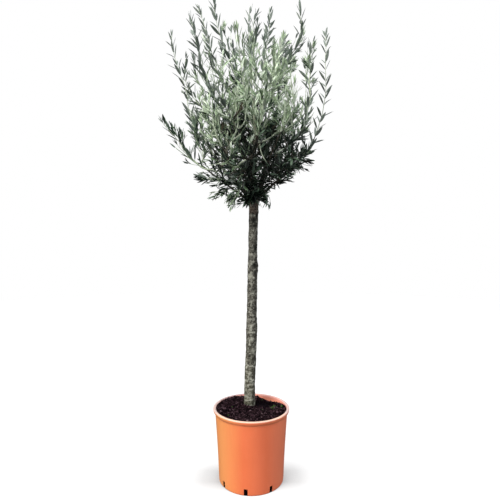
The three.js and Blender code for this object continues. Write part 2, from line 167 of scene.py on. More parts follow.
# the main wands as measured, foot to tip, and the pale limbs in front of the crown's core
WANDS = {
    "left_wand": [(-151, -4, 1301), (-183, -5, 1332), (-214, -5, 1362), (-236, -6, 1419), (-250, -6, 1470), (-252, -7, 1505), (-265, -8, 1556), (-287, -8, 1611), (-304, -9, 1672), (-312, -9, 1721), (-314, -10, 1744)],
    "left_second_wand": [(-170, 8, 1440), (-214, 10, 1488), (-243, 11, 1528), (-257, 12, 1559), (-266, 13, 1600), (-264, 13, 1647), (-262, 14, 1666)],
    "left_inner_wand": [(-133, -36, 1471), (-159, -42, 1520), (-176, -47, 1568), (-191, -52, 1600), (-198, -58, 1640), (-205, -64, 1687), (-216, -69, 1726), (-224, -74, 1757), (-227, -80, 1773)],
    "left_back_wand": [(-101, 20, 1551), (-133, 25, 1613), (-151, 30, 1656), (-158, 35, 1694), (-169, 40, 1733), (-182, 45, 1780), (-194, 50, 1828), (-207, 55, 1865), (-218, 60, 1894)],
    "left_tall_wand": [(-60, -10, 1575), (-79, -14, 1632), (-97, -19, 1681), (-114, -23, 1718), (-128, -27, 1759), (-137, -31, 1796), (-143, -36, 1828), (-144, -40, 1849)],
    "left_middle_wand": [(-34, 90, 1532), (-60, 107, 1626), (-77, 124, 1710), (-86, 142, 1778), (-88, 159, 1829), (-89, 176, 1868)],
    "top_wand": [(-3, 12, 1620), (-5, 17, 1670), (-8, 21, 1724), (-10, 26, 1779), (-9, 31, 1825), (-6, 35, 1858)],
    "top_front_wand": [(3, -40, 1605), (7, -47, 1672), (6, -54, 1715), (7, -60, 1750), (12, -67, 1776), (18, -74, 1788)],
    "top_right_wand": [(44, 30, 1587), (52, 35, 1662), (64, 40, 1737), (73, 44, 1796), (76, 49, 1839), (77, 54, 1871)],
    "right_middle_wand": [(86, 70, 1553), (103, 81, 1632), (125, 92, 1703), (138, 102, 1750), (139, 113, 1789), (138, 124, 1807)],
    "right_tall_wand": [(102, -2, 1558), (118, -2, 1598), (133, -3, 1625), (148, -3, 1650), (159, -4, 1674), (177, -4, 1700), (190, -4, 1721), (198, -5, 1759), (197, -5, 1802), (194, -6, 1837), (193, -6, 1853)],
    "right_wand": [(149, -50, 1309), (174, -52, 1333), (193, -54, 1358), (200, -56, 1380), (208, -58, 1406), (215, -60, 1440), (223, -62, 1474), (223, -64, 1511), (219, -66, 1541), (224, -68, 1571), (222, -70, 1600), (223, -72, 1632), (226, -74, 1659), (233, -76, 1685)],
    "far_right_wand": [(182, 6, 1235), (210, 6, 1267), (231, 6, 1299), (242, 6, 1323), (253, 6, 1351), (266, 7, 1388), (277, 7, 1423), (284, 7, 1450), (289, 7, 1482), (295, 7, 1514), (297, 7, 1558), (296, 7, 1599), (295, 8, 1634), (295, 8, 1668), (297, 8, 1702), (297, 8, 1733), (296, 8, 1749)],
    "left_low_wand": [(-146, -14, 1216), (-174, -15, 1218), (-195, -16, 1225), (-210, -17, 1239), (-230, -18, 1257), (-248, -19, 1275), (-264, -20, 1295), (-275, -20, 1314), (-288, -21, 1333), (-302, -22, 1347), (-317, -23, 1366), (-329, -24, 1384), (-338, -25, 1400)],
}
# gap between pairs of leaves, leaf length, side shoots, how far up they stand
WAND_STYLE = {
    "left_wand": (24.0, 55.0, 1, 0.15),
    "left_second_wand": (24.0, 50.0, 2, 0.40),
    "left_inner_wand": (18.0, 53.0, 3, 0.45),
    "left_back_wand": (18.0, 54.0, 3, 0.35),
    "left_tall_wand": (23.0, 56.0, 2, 0.30),
    "left_middle_wand": (23.0, 51.0, 3, 0.40),
    "top_wand": (27.0, 48.0, 0, 0.30),
    "top_front_wand": (24.0, 48.0, 2, 0.50),
    "top_right_wand": (22.0, 51.0, 3, 0.50),
    "right_middle_wand": (20.0, 50.0, 3, 0.50),
    "right_tall_wand": (19.0, 53.0, 4, 0.55),
    "right_wand": (20.0, 56.0, 3, 0.80),
    "far_right_wand": (26.0, 54.0, 1, 0.10),
    "left_low_wand": (17.0, 61.0, 4, 0.85),
}
SPREAD = {"left_low_wand": 46.0, "far_right_wand": 38.0}  # wands whose leaves stand out more, degrees
# radius at both ends, share without leaves, points
LIMBS = {
    "limb_right": (2.8, 1.5, 0.62, [(13, -20, 1320), (34, -28, 1321), (61, -37, 1329), (85, -45, 1343), (106, -54, 1360), (128, -62, 1379), (146, -70, 1401), (158, -79, 1426), (159, -87, 1458), (152, -96, 1499), (146, -104, 1541)]),
    "limb_right_low": (2.6, 1.5, 0.60, [(95, -60, 1345), (124, -69, 1357), (150, -78, 1372), (182, -87, 1398), (193, -96, 1425)]),
    "limb_left_a": (3.4, 1.6, 0.55, [(-93, -62, 1283), (-79, -70, 1310), (-60, -77, 1342), (-50, -85, 1368), (-51, -93, 1396), (-57, -101, 1431), (-57, -108, 1465), (-49, -116, 1499)]),
    "limb_left_b": (2.8, 1.5, 0.60, [(-55, -96, 1344), (-36, -101, 1360), (-24, -105, 1381), (-20, -110, 1413), (-16, -114, 1441), (-8, -119, 1476), (6, -123, 1511), (17, -128, 1546)]),
    "limb_mid": (3.0, 1.5, 0.60, [(15, -16, 1321), (12, -32, 1348), (9, -48, 1369), (-5, -64, 1397), (-14, -80, 1426), (-12, -96, 1458), (-8, -112, 1482)]),
    "limb_mid_right": (2.6, 1.4, 0.50, [(17, -30, 1337), (28, -42, 1359), (41, -53, 1371), (56, -65, 1387), (67, -77, 1412), (72, -89, 1446), (81, -100, 1483), (91, -112, 1516)]),
    "limb_short": (2.9, 1.8, 0.80, [(-91, -70, 1281), (-71, -84, 1312), (-53, -98, 1322), (-38, -112, 1329)]),
    "limb_curl": (2.6, 1.6, 0.70, [(-176, -70, 1315), (-152, -80, 1335), (-135, -91, 1357), (-131, -102, 1382), (-134, -112, 1408)]),
    "limb_down": (2.4, 1.4, 0.70, [(22, -30, 1314), (38, -79, 1266), (55, -128, 1220)]),
    "limb_low": (2.2, 1.2, 0.90, [(-74, -40, 1188), (-59, -67, 1211), (-41, -95, 1225), (-19, -122, 1232)]),
    "limb_low_tip": (2.0, 1.2, 0.35, [(-186, -16, 1219), (-212, -21, 1238), (-242, -25, 1260), (-270, -29, 1280), (-292, -31, 1297)]),
    "limb_low_left": (2.6, 1.4, 0.80, [(-70, -60, 1232), (-96, -71, 1231), (-118, -82, 1227), (-140, -93, 1219), (-157, -104, 1216)]),
}

# places where sky shows from the front: x, z, half width, half height, share of leaves kept there
OPEN = [
    (-80, 1732, 46, 40, 0.30),
    (-118, 1600, 40, 76, 0.50),
    (-145, 1640, 24, 66, 0.20),
    (-222, 1596, 20, 30, 0.45),
    (-284, 1290, 26, 16, 0.15),
    (24, 1553, 30, 22, 0.12),
    (104, 1114, 46, 36, 0.0),
    (142, 1136, 40, 36, 0.0),
    (134, 1166, 22, 20, 0.45),
    (-214, 1240, 38, 18, 0.15),
    (-183, 1236, 22, 22, 0.25),
    (-150, 1190, 20, 34, 0.60),
    (190, 1402, 26, 26, 0.40),
    (216, 1440, 20, 26, 0.25),
    (242, 1442, 18, 28, 0.20),
    (174, 1376, 20, 22, 0.30),
    (-27, 1790, 18, 22, 0.35),
    (-304, 1318, 20, 14, 0.30),
    (-143, 1592, 20, 18, 0.50),
    (-222, 1515, 18, 16, 0.45),
    (252, 1390, 14, 20, 0.50),
]
# gaps right through the crown, seen from the front: x, z, half length, half width, slope of the length
GAPS = [
    (-181, 1819, 20, 10, 88), (-228, 1796, 11, 6, 71), (183, 1767, 17, 4, 115), (211, 1765, 27, 7, 92),
    (-237, 1764, 9, 6, 124), (183, 1742, 13, 7, 117), (-11, 1739, 14, 6, 98), (173, 1728, 12, 6, 99),
    (118, 1727, 21, 7, 112), (39, 1721, 40, 10, 84), (-230, 1706, 17, 4, 123), (-315, 1698, 20, 11, 67),
    (223, 1697, 17, 7, 114), (22, 1690, 19, 4, 82), (-202, 1684, 25, 7, 88), (241, 1677, 18, 4, 88),
    (-187, 1674, 34, 6, 68), (72, 1655, 42, 6, 106), (-46, 1641, 24, 10, 76), (207, 1632, 18, 4, 116),
    (-169, 1631, 26, 11, 95), (-277, 1630, 45, 13, 94), (36, 1630, 42, 10, 84), (-73, 1613, 21, 4, 70),
    (188, 1603, 18, 9, 105), (224, 1599, 13, 9, 86), (-111, 1590, 19, 9, 124), (159, 1578, 24, 7, 84),
    (-91, 1570, 10, 6, 73), (-191, 1559, 19, 4, 108), (33, 1557, 16, 4, 62), (-137, 1551, 15, 4, 66),
    (200, 1550, 21, 4, 64), (7, 1544, 25, 14, 100), (-126, 1537, 22, 7, 66), (-172, 1530, 14, 4, 107),
    (216, 1528, 28, 12, 89), (-270, 1519, 36, 12, 102), (128, 1505, 26, 4, 56), (-118, 1502, 15, 11, 73),
    (204, 1501, 20, 4, 117), (194, 1477, 12, 7, 97), (247, 1372, 19, 8, 94), (270, 1363, 24, 7, 38),
    (227, 1361, 12, 7, 93), (-321, 1351, 13, 4, -33), (229, 1334, 19, 11, 70), (-263, 1331, 17, 4, 43),
    (195, 1312, 12, 6, 40), (-204, 1286, 22, 10, 120), (221, 1250, 12, 6, 51), (-177, 1241, 23, 19, 62),
    (224, 1229, 17, 7, 13), (-164, 1210, 12, 8, -6), (-147, 1167, 25, 8, 0), (-79, 1145, 13, 8, 63),
    (-118, 1099, 15, 5, 34), (-52, 1082, 15, 9, 112),
]
# places that are full: x, y, z, half sizes, shoots
FULL = [
    (176, 0, 1588, 22, 30, 24, 5),
    (80, -10, 1714, 24, 26, 34, 5),
    (50, 0, 1690, 16, 24, 24, 3),
    (-183, 4, 1674, 18, 24, 20, 3),
    (-184, 0, 1636, 18, 24, 18, 3),
    (-222, 4, 1594, 16, 22, 20, 3),
    (-183, 10, 1438, 20, 24, 20, 4),
    (-146, 10, 1474, 20, 24, 20, 4),
    (-268, -20, 1352, 20, 16, 18, 3),
    (-218, -8, 1404, 26, 36, 54, 16),
    (-206, -10, 1312, 26, 30, 30, 7),
    (-224, 10, 1594, 22, 24, 44, 3),
    (174, -10, 1562, 24, 40, 66, 22),
    (210, -50, 1602, 24, 30, 74, 10),
    (94, 40, 1706, 22, 50, 44, 10),
    (-104, -10, 1776, 18, 40, 36, 4),
    (168, 20, 1476, 34, 44, 60, 8),
    (208, 0, 1292, 22, 44, 50, 10),
    (212, -30, 1476, 18, 30, 24, 8),
    (174, 0, 1640, 18, 30, 20, 5),
    (246, -40, 1556, 14, 20, 24, 4),
    (94, -50, 1480, 22, 44, 20, 6),
    (210, -4, 1748, 16, 16, 34, 5),
    (172, -10, 1536, 18, 36, 40, 7),
    (132, 40, 1712, 20, 36, 24, 6),
    (-286, -22, 1366, 16, 12, 26, 2),
    (174, -10, 1600, 20, 30, 30, 5),
    (236, -70, 1672, 14, 10, 40, 3),
    (-126, -20, 1168, 26, 24, 18, 5),
    (196, -30, 1352, 20, 30, 18, 4),
    (172, 10, 1220, 22, 40, 22, 6),
    (-90, -54, 1100, 26, 22, 34, 14),
    (-24, -44, 1094, 22, 22, 22, 12),
    (50, -46, 1104, 16, 20, 26, 6),
    (0, -34, 1126, 46, 30, 26, 16),
    (4, -50, 1112, 34, 24, 22, 20),
    (6, -20, 1150, 40, 40, 30, 16),
    (214, -30, 1212, 20, 30, 18, 3),
    (0, 80, 1380, 90, 34, 80, 34),
    (68, 60, 1400, 36, 40, 56, 18),
    (92, 30, 1392, 20, 40, 22, 5),
    (-190, 0, 1560, 22, 24, 30, 4),
    (-196, 10, 1500, 18, 24, 30, 3),
    (166, -10, 1540, 26, 30, 30, 5),
    (-4, 0, 1744, 26, 34, 40, 8),
    (10, -10, 1700, 30, 30, 30, 6),
    (-88, 50, 1370, 30, 40, 50, 9),
    (52, 40, 1308, 40, 40, 24, 10),
    (150, -20, 1574, 40, 40, 40, 12),
    (-216, -10, 1352, 22, 24, 26, 5),
    (-20, 70, 1480, 90, 40, 50, 14),
    (30, 60, 1290, 80, 40, 40, 12),
    (-120, -20, 1132, 44, 30, 26, 12),
    (-96, -30, 1166, 32, 30, 26, 8),
    (-150, -20, 1150, 20, 20, 18, 4),
]
# places in the crown's front painted dark as shade, as seen from there: x, z, half width, half height, how dark
HOLLOWS = [(-32, 1358, 32, 60, 1.0), (-80, 1330, 34, 38, 0.7), (36, 1352, 24, 22, 0.9), (64, 1390, 30, 24, 0.45)]


# ---------------------------------------------------------------------------------------------
# helpers
# ---------------------------------------------------------------------------------------------
def unit(v):
    v = np.asarray(v, float)
    return v / max(1e-9, np.linalg.norm(v))


def smooth_line(points, step):
    """A smooth line through points, cut into steps of about `step`."""
    p = np.asarray(points, float)
    p = np.vstack([2 * p[0] - p[1], p, 2 * p[-1] - p[-2]])
    out = []
    for i in range(1, len(p) - 2):
        a, b, c, d = p[i - 1 : i + 3]
        k = [0.0]
        for q, r in ((a, b), (b, c), (c, d)):
            k.append(k[-1] + max(1e-6, np.linalg.norm(r - q)) ** 0.5)
        n = max(2, int(np.linalg.norm(c - b) / 2.0))
        for t in np.linspace(k[1], k[2], n, endpoint=False):
            a1 = (k[1] - t) / (k[1] - k[0]) * a + (t - k[0]) / (k[1] - k[0]) * b
            a2 = (k[2] - t) / (k[2] - k[1]) * b + (t - k[1]) / (k[2] - k[1]) * c
            a3 = (k[3] - t) / (k[3] - k[2]) * c + (t - k[2]) / (k[3] - k[2]) * d
            b1 = (k[2] - t) / (k[2] - k[0]) * a1 + (t - k[0]) / (k[2] - k[0]) * a2
            b2 = (k[3] - t) / (k[3] - k[1]) * a2 + (t - k[1]) / (k[3] - k[1]) * a3
            out.append((k[2] - t) / (k[2] - k[1]) * b1 + (t - k[1]) / (k[2] - k[1]) * b2)
    out.append(p[-2])
    return even(np.array(out), step)


def even(line, step):
    """The same line with points at even distances of about `step`."""
    d = np.linalg.norm(np.diff(line, axis=0), axis=1)
    s = np.concatenate([[0], np.cumsum(d)])
    n = max(2, int(round(s[-1] / step)) + 1)
    t = np.linspace(0, s[-1], n)
    return np.stack([np.interp(t, s, line[:, k]) for k in range(3)], axis=1)


def lattice(ix, iy, iz, seed):
    h = (ix * 374761393 + iy * 668265263 + iz * 2147483647 + seed * 144665) & 0xFFFFFFFF
    h = ((h ^ (h >> 13)) * 1274126177) & 0xFFFFFFFF
    h = h ^ (h >> 16)
    return (h & 0xFFFF) / 65535.0 * 2 - 1


def noise(p, seed=0):
    """Smooth noise in -1..1 at points p, whose features are about one unit across."""
    p = np.asarray(p, float)
    i = np.floor(p).astype(np.int64)
    f = p - i
    f = f * f * (3 - 2 * f)
    out = 0.0
    for dx in (0, 1):
        for dy in (0, 1):
            for dz in (0, 1):
                w = (
                    (f[:, 0] if dx else 1 - f[:, 0])
                    * (f[:, 1] if dy else 1 - f[:, 1])
                    * (f[:, 2] if dz else 1 - f[:, 2])
                )
                out = out + w * lattice(i[:, 0] + dx, i[:, 1] + dy, i[:, 2] + dz, seed)
    return out


def fractal(p, octaves, seed=0, gain=0.5):
    total, amp = 0.0, 1.0
    for o in range(octaves):
        total = total + amp * noise(p * 2.0**o + 17.3 * o, seed + o)
        amp *= gain
    return total


def mesh_object(name, verts, faces, smooth=True, scale=MM):
    """An object from points in mm and faces of one size or of mixed sizes."""
    mesh = bpy.data.meshes.new(name)
    verts = np.asarray(verts, float) * scale
    if isinstance(faces, np.ndarray):
        n, k = faces.shape
        mesh.vertices.add(len(verts))
        mesh.vertices.foreach_set("co", verts.ravel())
        mesh.loops.add(n * k)
        mesh.loops.foreach_set("vertex_index", faces.ravel().astype(np.int32))
        mesh.polygons.add(n)
        mesh.polygons.foreach_set("loop_start", np.arange(0, n * k, k, dtype=np.int32))
        mesh.update(calc_edges=True)
        mesh.validate()
    else:
        mesh.from_pydata(verts.tolist(), [], faces)
        mesh.update()
    mesh.polygons.foreach_set("use_smooth", np.full(len(mesh.polygons), smooth, dtype=bool))
    ob = bpy.data.objects.new(name, mesh)
    bpy.context.scene.collection.objects.link(ob)
    return ob


def applied(ob):
    """Replaces an object's mesh by its evaluated one, and drops its modifiers."""
    dg = bpy.context.evaluated_depsgraph_get()
    mesh = bpy.data.meshes.new_from_object(ob.evaluated_get(dg))
    old = ob.data
    ob.modifiers.clear()
    ob.data = mesh
    bpy.data.meshes.remove(old)
    return ob


def srgb(r, g, b):
    def one(c):
        c = c / 255.0
        return c / 12.92 if c <= 0.04045 else ((c + 0.055) / 1.055) ** 2.4

    return (one(r), one(g), one(b), 1.0)


# ---------------------------------------------------------------------------------------------
# materials
# ---------------------------------------------------------------------------------------------
def plain(name, colour, rough=0.5, specular=0.4, sheen=0.0):
    mat = bpy.data.materials.new(name)
    mat.use_nodes = True
    shader = mat.node_tree.nodes["Principled BSDF"]
    shader.inputs["Base Color"].default_value = colour
    shader.inputs["Roughness"].default_value = rough
    shader.inputs["Specular IOR Level"].default_value = specular
    if sheen:
        shader.inputs["Sheen Weight"].default_value = sheen
        shader.inputs["Sheen Roughness"].default_value = 0.5
    mat.diffuse_color = colour
    return mat


class Nodes:
    """Short calls for building a material's nodes."""

    def __init__(self, name):
        self.mat = bpy.data.materials.new(name)
        self.mat.use_nodes = True
        self.tree = self.mat.node_tree
        self.shader = self.tree.nodes["Principled BSDF"]

    def add(self, kind, **values):
        node = self.tree.nodes.new(kind)
        for key, value in values.items():
            if key.startswith("in_"):
                name = key[3:].replace("_", " ")
                node.inputs[name].default_value = value
            else:
                setattr(node, key, value)
        return node

    def link(self, a, b):
        self.tree.links.new(a, b)

    def position(self):
        return self.add("ShaderNodeTexCoord").outputs["Object"]

    def mapped(self, scale):
        m = self.add("ShaderNodeMapping")
        m.inputs["Scale"].default_value = scale
        self.link(self.position(), m.inputs["Vector"])
        return m.outputs["Vector"]

    def noise(self, scale, detail=4.0, rough=0.55, vector=None, distortion=0.0):
        n = self.add("ShaderNodeTexNoise")
        n.inputs["Scale"].default_value = scale
        n.inputs["Detail"].default_value = detail
        n.inputs["Roughness"].default_value = rough
        n.inputs["Distortion"].default_value = distortion
        self.link(vector if vector is not None else self.position(), n.inputs["Vector"])
        return n.outputs["Fac"]

    def ramp(self, value, stops):
        r = self.add("ShaderNodeValToRGB")
        e = r.color_ramp.elements
        while len(e) > 1:
            e.remove(e[-1])
        e[0].position, e[0].color = stops[0]
        for at, colour in stops[1:]:
            n = e.new(at)
            n.color = colour
        self.link(value, r.inputs["Fac"])
        return r.outputs["Color"]

    def grey(self, value, lo, hi, a=0.0, b=1.0):
        m = self.add("ShaderNodeMapRange")
        m.inputs["From Min"].default_value = lo
        m.inputs["From Max"].default_value = hi
        m.inputs["To Min"].default_value = a
        m.inputs["To Max"].default_value = b
        self.link(value, m.inputs["Value"])
        return m.outputs["Result"]

    def mix(self, factor, a, b, blend="MIX"):
        m = self.add("ShaderNodeMix", data_type="RGBA", blend_type=blend)
        for socket, value in ((m.inputs[0], factor), (m.inputs[6], a), (m.inputs[7], b)):
            if isinstance(value, (int, float, tuple)):
                socket.default_value = value
            else:
                self.link(value, socket)
        return m.outputs[2]

    def maths(self, operation, a, b=0.0):
        m = self.add("ShaderNodeMath", operation=operation)
        for socket, value in ((m.inputs[0], a), (m.inputs[1], b)):
            if isinstance(value, (int, float)):
                socket.default_value = value
            else:
                self.link(value, socket)
        return m.outputs[0]

    def bump(self, height, strength, distance, normal=None):
        b = self.add("ShaderNodeBump")
        b.inputs["Strength"].default_value = strength
        b.inputs["Distance"].default_value = distance
        self.link(height, b.inputs["Height"])
        if normal is not None:
            self.link(normal, b.inputs["Normal"])
        return b.outputs["Normal"]


def pot_material():
    n = Nodes("terracotta_plastic")
    tone = n.noise(9.0, 3.0)
    streak = n.noise(1.0, 3.0, vector=n.mapped((90.0, 90.0, 6.0)))
    place = n.add("ShaderNodeSeparateXYZ")
    n.link(n.position(), place.inputs[0])
    across, along, height = place.outputs["X"], place.outputs["Y"], place.outputs["Z"]
    round_it = n.maths("SQRT", n.maths("ADD", n.maths("MULTIPLY", across, across), n.maths("MULTIPLY", along, along)))
    base = n.mix(n.grey(tone, 0.3, 0.7), srgb(228, 115, 72), srgb(234, 121, 78))
    # painted light and shade: paler and yellower towards the left, where the key light falls, darker right of the
    # middle, and lightened again at the right edge
    base = n.mix(n.grey(across, -0.030, -0.110, 0.0, 0.95), base, srgb(241, 158, 94))
    base = n.mix(n.grey(across, -0.020, 0.040, 0.0, 0.55), base, srgb(206, 102, 71))
    base = n.mix(n.grey(across, 0.055, 0.128, 0.0, 0.9), base, srgb(243, 138, 102))
    base = n.mix(n.grey(streak, 0.45, 0.8, 0.0, 0.10), base, srgb(204, 100, 66))
    dust = n.grey(n.noise(38.0, 5.0, 0.7), 0.58, 0.78, 0.0, 0.08)
    base = n.mix(dust, base, srgb(226, 168, 136))
    # pinkish on the wall inside; on the rim, painted light and shade
    wall = n.maths("ADD", n.maths("MULTIPLY", height, 0.0692), 0.12359)
    depth = n.maths("SUBTRACT", wall, round_it)
    inner = n.maths("MULTIPLY", n.grey(depth, 0.0008, 0.0020, 0.0, 0.75), n.grey(height, 0.20, 0.24))
    base = n.mix(inner, base, srgb(238, 164, 150))
    # painted light: the rim's lower face and the wall just under it are lightened against the shadow the rim casts
    face = n.maths("MULTIPLY", n.grey(height, 0.2580, 0.2625, 0.0, 0.4), n.grey(height, 0.2750, 0.2700))
    base = n.mix(face, base, srgb(255, 150, 104))
    # painted highlight along the top of the rim, cream at the front; painted grey-purple shade on its back left,
    # pinkish on its back right
    lip = n.maths("MULTIPLY", n.grey(height, 0.2765, 0.2805, 0.0, 0.85), n.grey(round_it, 0.1385, 0.1405))
    behind = n.mix(n.grey(across, -0.03, 0.02), srgb(170, 148, 152), srgb(228, 182, 170))
    lip_light_and_shade = n.mix(n.grey(along, -0.03, 0.07), srgb(246, 210, 187), behind)
    # the painted highlight is greyer at the rim's left and right ends
    lip_light_and_shade = n.mix(n.grey(n.maths("ABSOLUTE", across), 0.116, 0.134, 0.0, 0.85), lip_light_and_shade, srgb(206, 190, 188))
    base = n.mix(lip, base, lip_light_and_shade)
    n.link(base, n.shader.inputs["Base Color"])
    n.link(n.grey(n.noise(24.0, 4.0), 0.3, 0.7, 0.34, 0.44), n.shader.inputs["Roughness"])
    n.shader.inputs["Specular IOR Level"].default_value = 0.45
    fine = n.noise(420.0, 2.0)
    n.link(n.bump(fine, 0.10, 0.0006), n.shader.inputs["Normal"])
    return n.mat


def bark_material():
    n = Nodes("olive_bark")
    cavity = n.add("ShaderNodeAttribute", attribute_name="cavity").outputs["Fac"]
    lichen = n.add("ShaderNodeAttribute", attribute_name="lichen").outputs["Fac"]
    young = n.add("ShaderNodeAttribute", attribute_name="young").outputs["Fac"]
    z = n.add("ShaderNodeSeparateXYZ")
    n.link(n.position(), z.inputs[0])
    height = z.outputs["Z"]
    mottled = n.noise(135.0, 6.0, 0.74, vector=n.mapped((1.0, 1.0, 1.15)))
    broad = n.noise(26.0, 4.0, 0.6)
    grain = n.noise(300.0, 5.0, 0.7, vector=n.mapped((1.0, 1.0, 0.5)))
    base = n.ramp(
        mottled,
        [
            (0.38, srgb(36, 34, 29)),
            (0.46, srgb(80, 77, 67)),
            (0.54, srgb(122, 119, 107)),
            (0.63, srgb(182, 181, 169)),
        ],
    )
    base = n.mix(n.grey(broad, 0.42, 0.62, 0.40, 0.0), base, srgb(58, 54, 48))
    # fine rings of raised pores
    rings = n.noise(1.0, 3.0, 0.6, vector=n.mapped((36.0, 36.0, 170.0)))
    base = n.mix(n.grey(rings, 0.53, 0.64, 0.0, 0.6), base, srgb(170, 168, 156))
    base = n.mix(n.grey(rings, 0.47, 0.36, 0.0, 0.65), base, srgb(40, 37, 32))
    green = n.grey(height, 0.62, 0.30, 0.0, 0.36)
    base = n.mix(green, base, srgb(96, 98, 70))
    # painted shade: darker up the stem towards the crown, which shades it
    crown_shade = n.grey(height, 0.70, 0.92, 0.0, 0.52)
    base = n.mix(crown_shade, base, srgb(50, 48, 42))
    brown = n.grey(height, 1.02, 1.06, 0.0, 0.55)
    base = n.mix(brown, base, srgb(150, 126, 110))
    # painted shade: the side away from the sun (towards +x) is darker
    turned = n.grey(n.maths("SUBTRACT", z.outputs["X"], n.grey(height, 0.26, 1.13, -0.008, 0.011)), 0.001, 0.017, 0.0, 0.66)
    base = n.mix(turned, base, srgb(38, 33, 29))
    base = n.mix(n.grey(grain, 0.35, 0.62, 0.45, 0.0), base, srgb(46, 42, 37))
    base = n.mix(lichen, base, srgb(176, 176, 162))
    # cavity: painted shade in the cracks, between the plates and in the knots' holes, together with dark pits and
    # patches
    base = n.mix(n.grey(cavity, 0.0, 0.9), base, srgb(13, 14, 7))
    base = n.mix(n.grey(young, 0.0, 1.0, 0.0, 0.6), base, srgb(160, 162, 142))
    shade = n.add("ShaderNodeAttribute", attribute_name="shade").outputs["Fac"]
    base = n.mix(n.grey(shade, 0.0, 1.0, 0.0, 0.9), base, srgb(38, 34, 29))
    n.link(base, n.shader.inputs["Base Color"])
    n.shader.inputs["Specular IOR Level"].default_value = 0.25
    n.link(n.grey(mottled, 0.3, 0.7, 0.92, 0.74), n.shader.inputs["Roughness"])
    coarse = n.bump(mottled, 0.5, 0.0022)
    n.link(n.bump(grain, 0.45, 0.0010, coarse), n.shader.inputs["Normal"])
    return n.mat


def compost_material():
    n = Nodes("compost")
    clod = n.noise(170.0, 4.0, 0.62)
    broad = n.noise(26.0, 3.0, 0.6)
    base = n.ramp(
        clod,
        [
            (0.36, srgb(6, 2, 4)),
            (0.48, srgb(20, 10, 13)),
            (0.57, srgb(48, 32, 36)),
            (0.66, srgb(92, 72, 78)),
        ],
    )
    base = n.mix(n.grey(broad, 0.40, 0.60, 0.45, 0.0), base, srgb(12, 5, 8))
    # painted shadow of the stem on the compost behind it and to its right
    place = n.add("ShaderNodeSeparateXYZ")
    n.link(n.position(), place.inputs[0])
    side = n.maths("DIVIDE", n.maths("SUBTRACT", place.outputs["X"], 0.045), 0.048)
    back = n.maths("DIVIDE", n.maths("SUBTRACT", place.outputs["Y"], 0.052), 0.036)
    near = n.maths("ADD", n.maths("MULTIPLY", side, side), n.maths("MULTIPLY", back, back))
    base = n.mix(n.grey(near, 1.3, 0.4, 0.0, 0.8), base, srgb(6, 5, 9))
    # and in the shade of the rim in front
    x2 = n.maths("MULTIPLY", place.outputs["X"], place.outputs["X"])
    y2 = n.maths("MULTIPLY", place.outputs["Y"], place.outputs["Y"])
    reach = n.maths("SQRT", n.maths("ADD", x2, y2))
    edge = n.maths("MULTIPLY", n.grey(reach, 0.112, 0.130), n.grey(place.outputs["Y"], -0.03, -0.09))
    base = n.mix(n.maths("MULTIPLY", edge, 0.75), base, srgb(14, 6, 9))
    n.link(base, n.shader.inputs["Base Color"])
    n.shader.inputs["Specular IOR Level"].default_value = 0.03
    n.shader.inputs["Roughness"].default_value = 0.9
    n.link(n.bump(n.noise(230.0, 6.0, 0.75), 0.8, 0.003), n.shader.inputs["Normal"])
    return n.mat


# ---------------------------------------------------------------------------------------------
# pot
# ---------------------------------------------------------------------------------------------
def wall_radius(z):
    """The wall leans out a little more above the waist, with a soft change between."""
    neck = POT_HEIGHT - RIM_DEPTH
    lower = (POT_WAIST_RADIUS - POT_FOOT_RADIUS) / POT_WAIST_HEIGHT
    upper = (POT_NECK_RADIUS - POT_WAIST_RADIUS) / (neck - POT_WAIST_HEIGHT)
    soft = 22.0
    more = soft * math.log1p(math.exp((z - POT_WAIST_HEIGHT) / soft))
    return POT_FOOT_RADIUS + lower * z + (upper - lower) * more


def arc(cx, cz, r, a0, a1, n):
    return [
        (cx + r * math.cos(math.radians(a)), cz + r * math.sin(math.radians(a)))
        for a in np.linspace(a0, a1, n)
    ]


def lathe(profile, segments):
    """A closed solid of revolution; the profile runs from axis to axis."""
    prof = np.array(profile, float)
    inner = prof[1:-1]
    a = np.linspace(0, 2 * math.pi, segments, endpoint=False)
    ring = np.stack([np.cos(a), np.sin(a)], axis=1)
    verts = [(0, 0, prof[0][1]), (0, 0, prof[-1][1])]
    for r, z in inner:
        verts += [(r * c, r * s, z) for c, s in ring]
    faces = []
    n = segments
    for k in range(n):
        m = (k + 1) % n
        faces.append((0, 2 + m, 2 + k))
        last = 2 + (len(inner) - 1) * n
        faces.append((1, last + k, last + m))
        for j in range(len(inner) - 1):
            a0, b0 = 2 + j * n, 2 + (j + 1) * n
            faces.append((a0 + k, a0 + m, b0 + m, b0 + k))
    return np.array(verts), faces


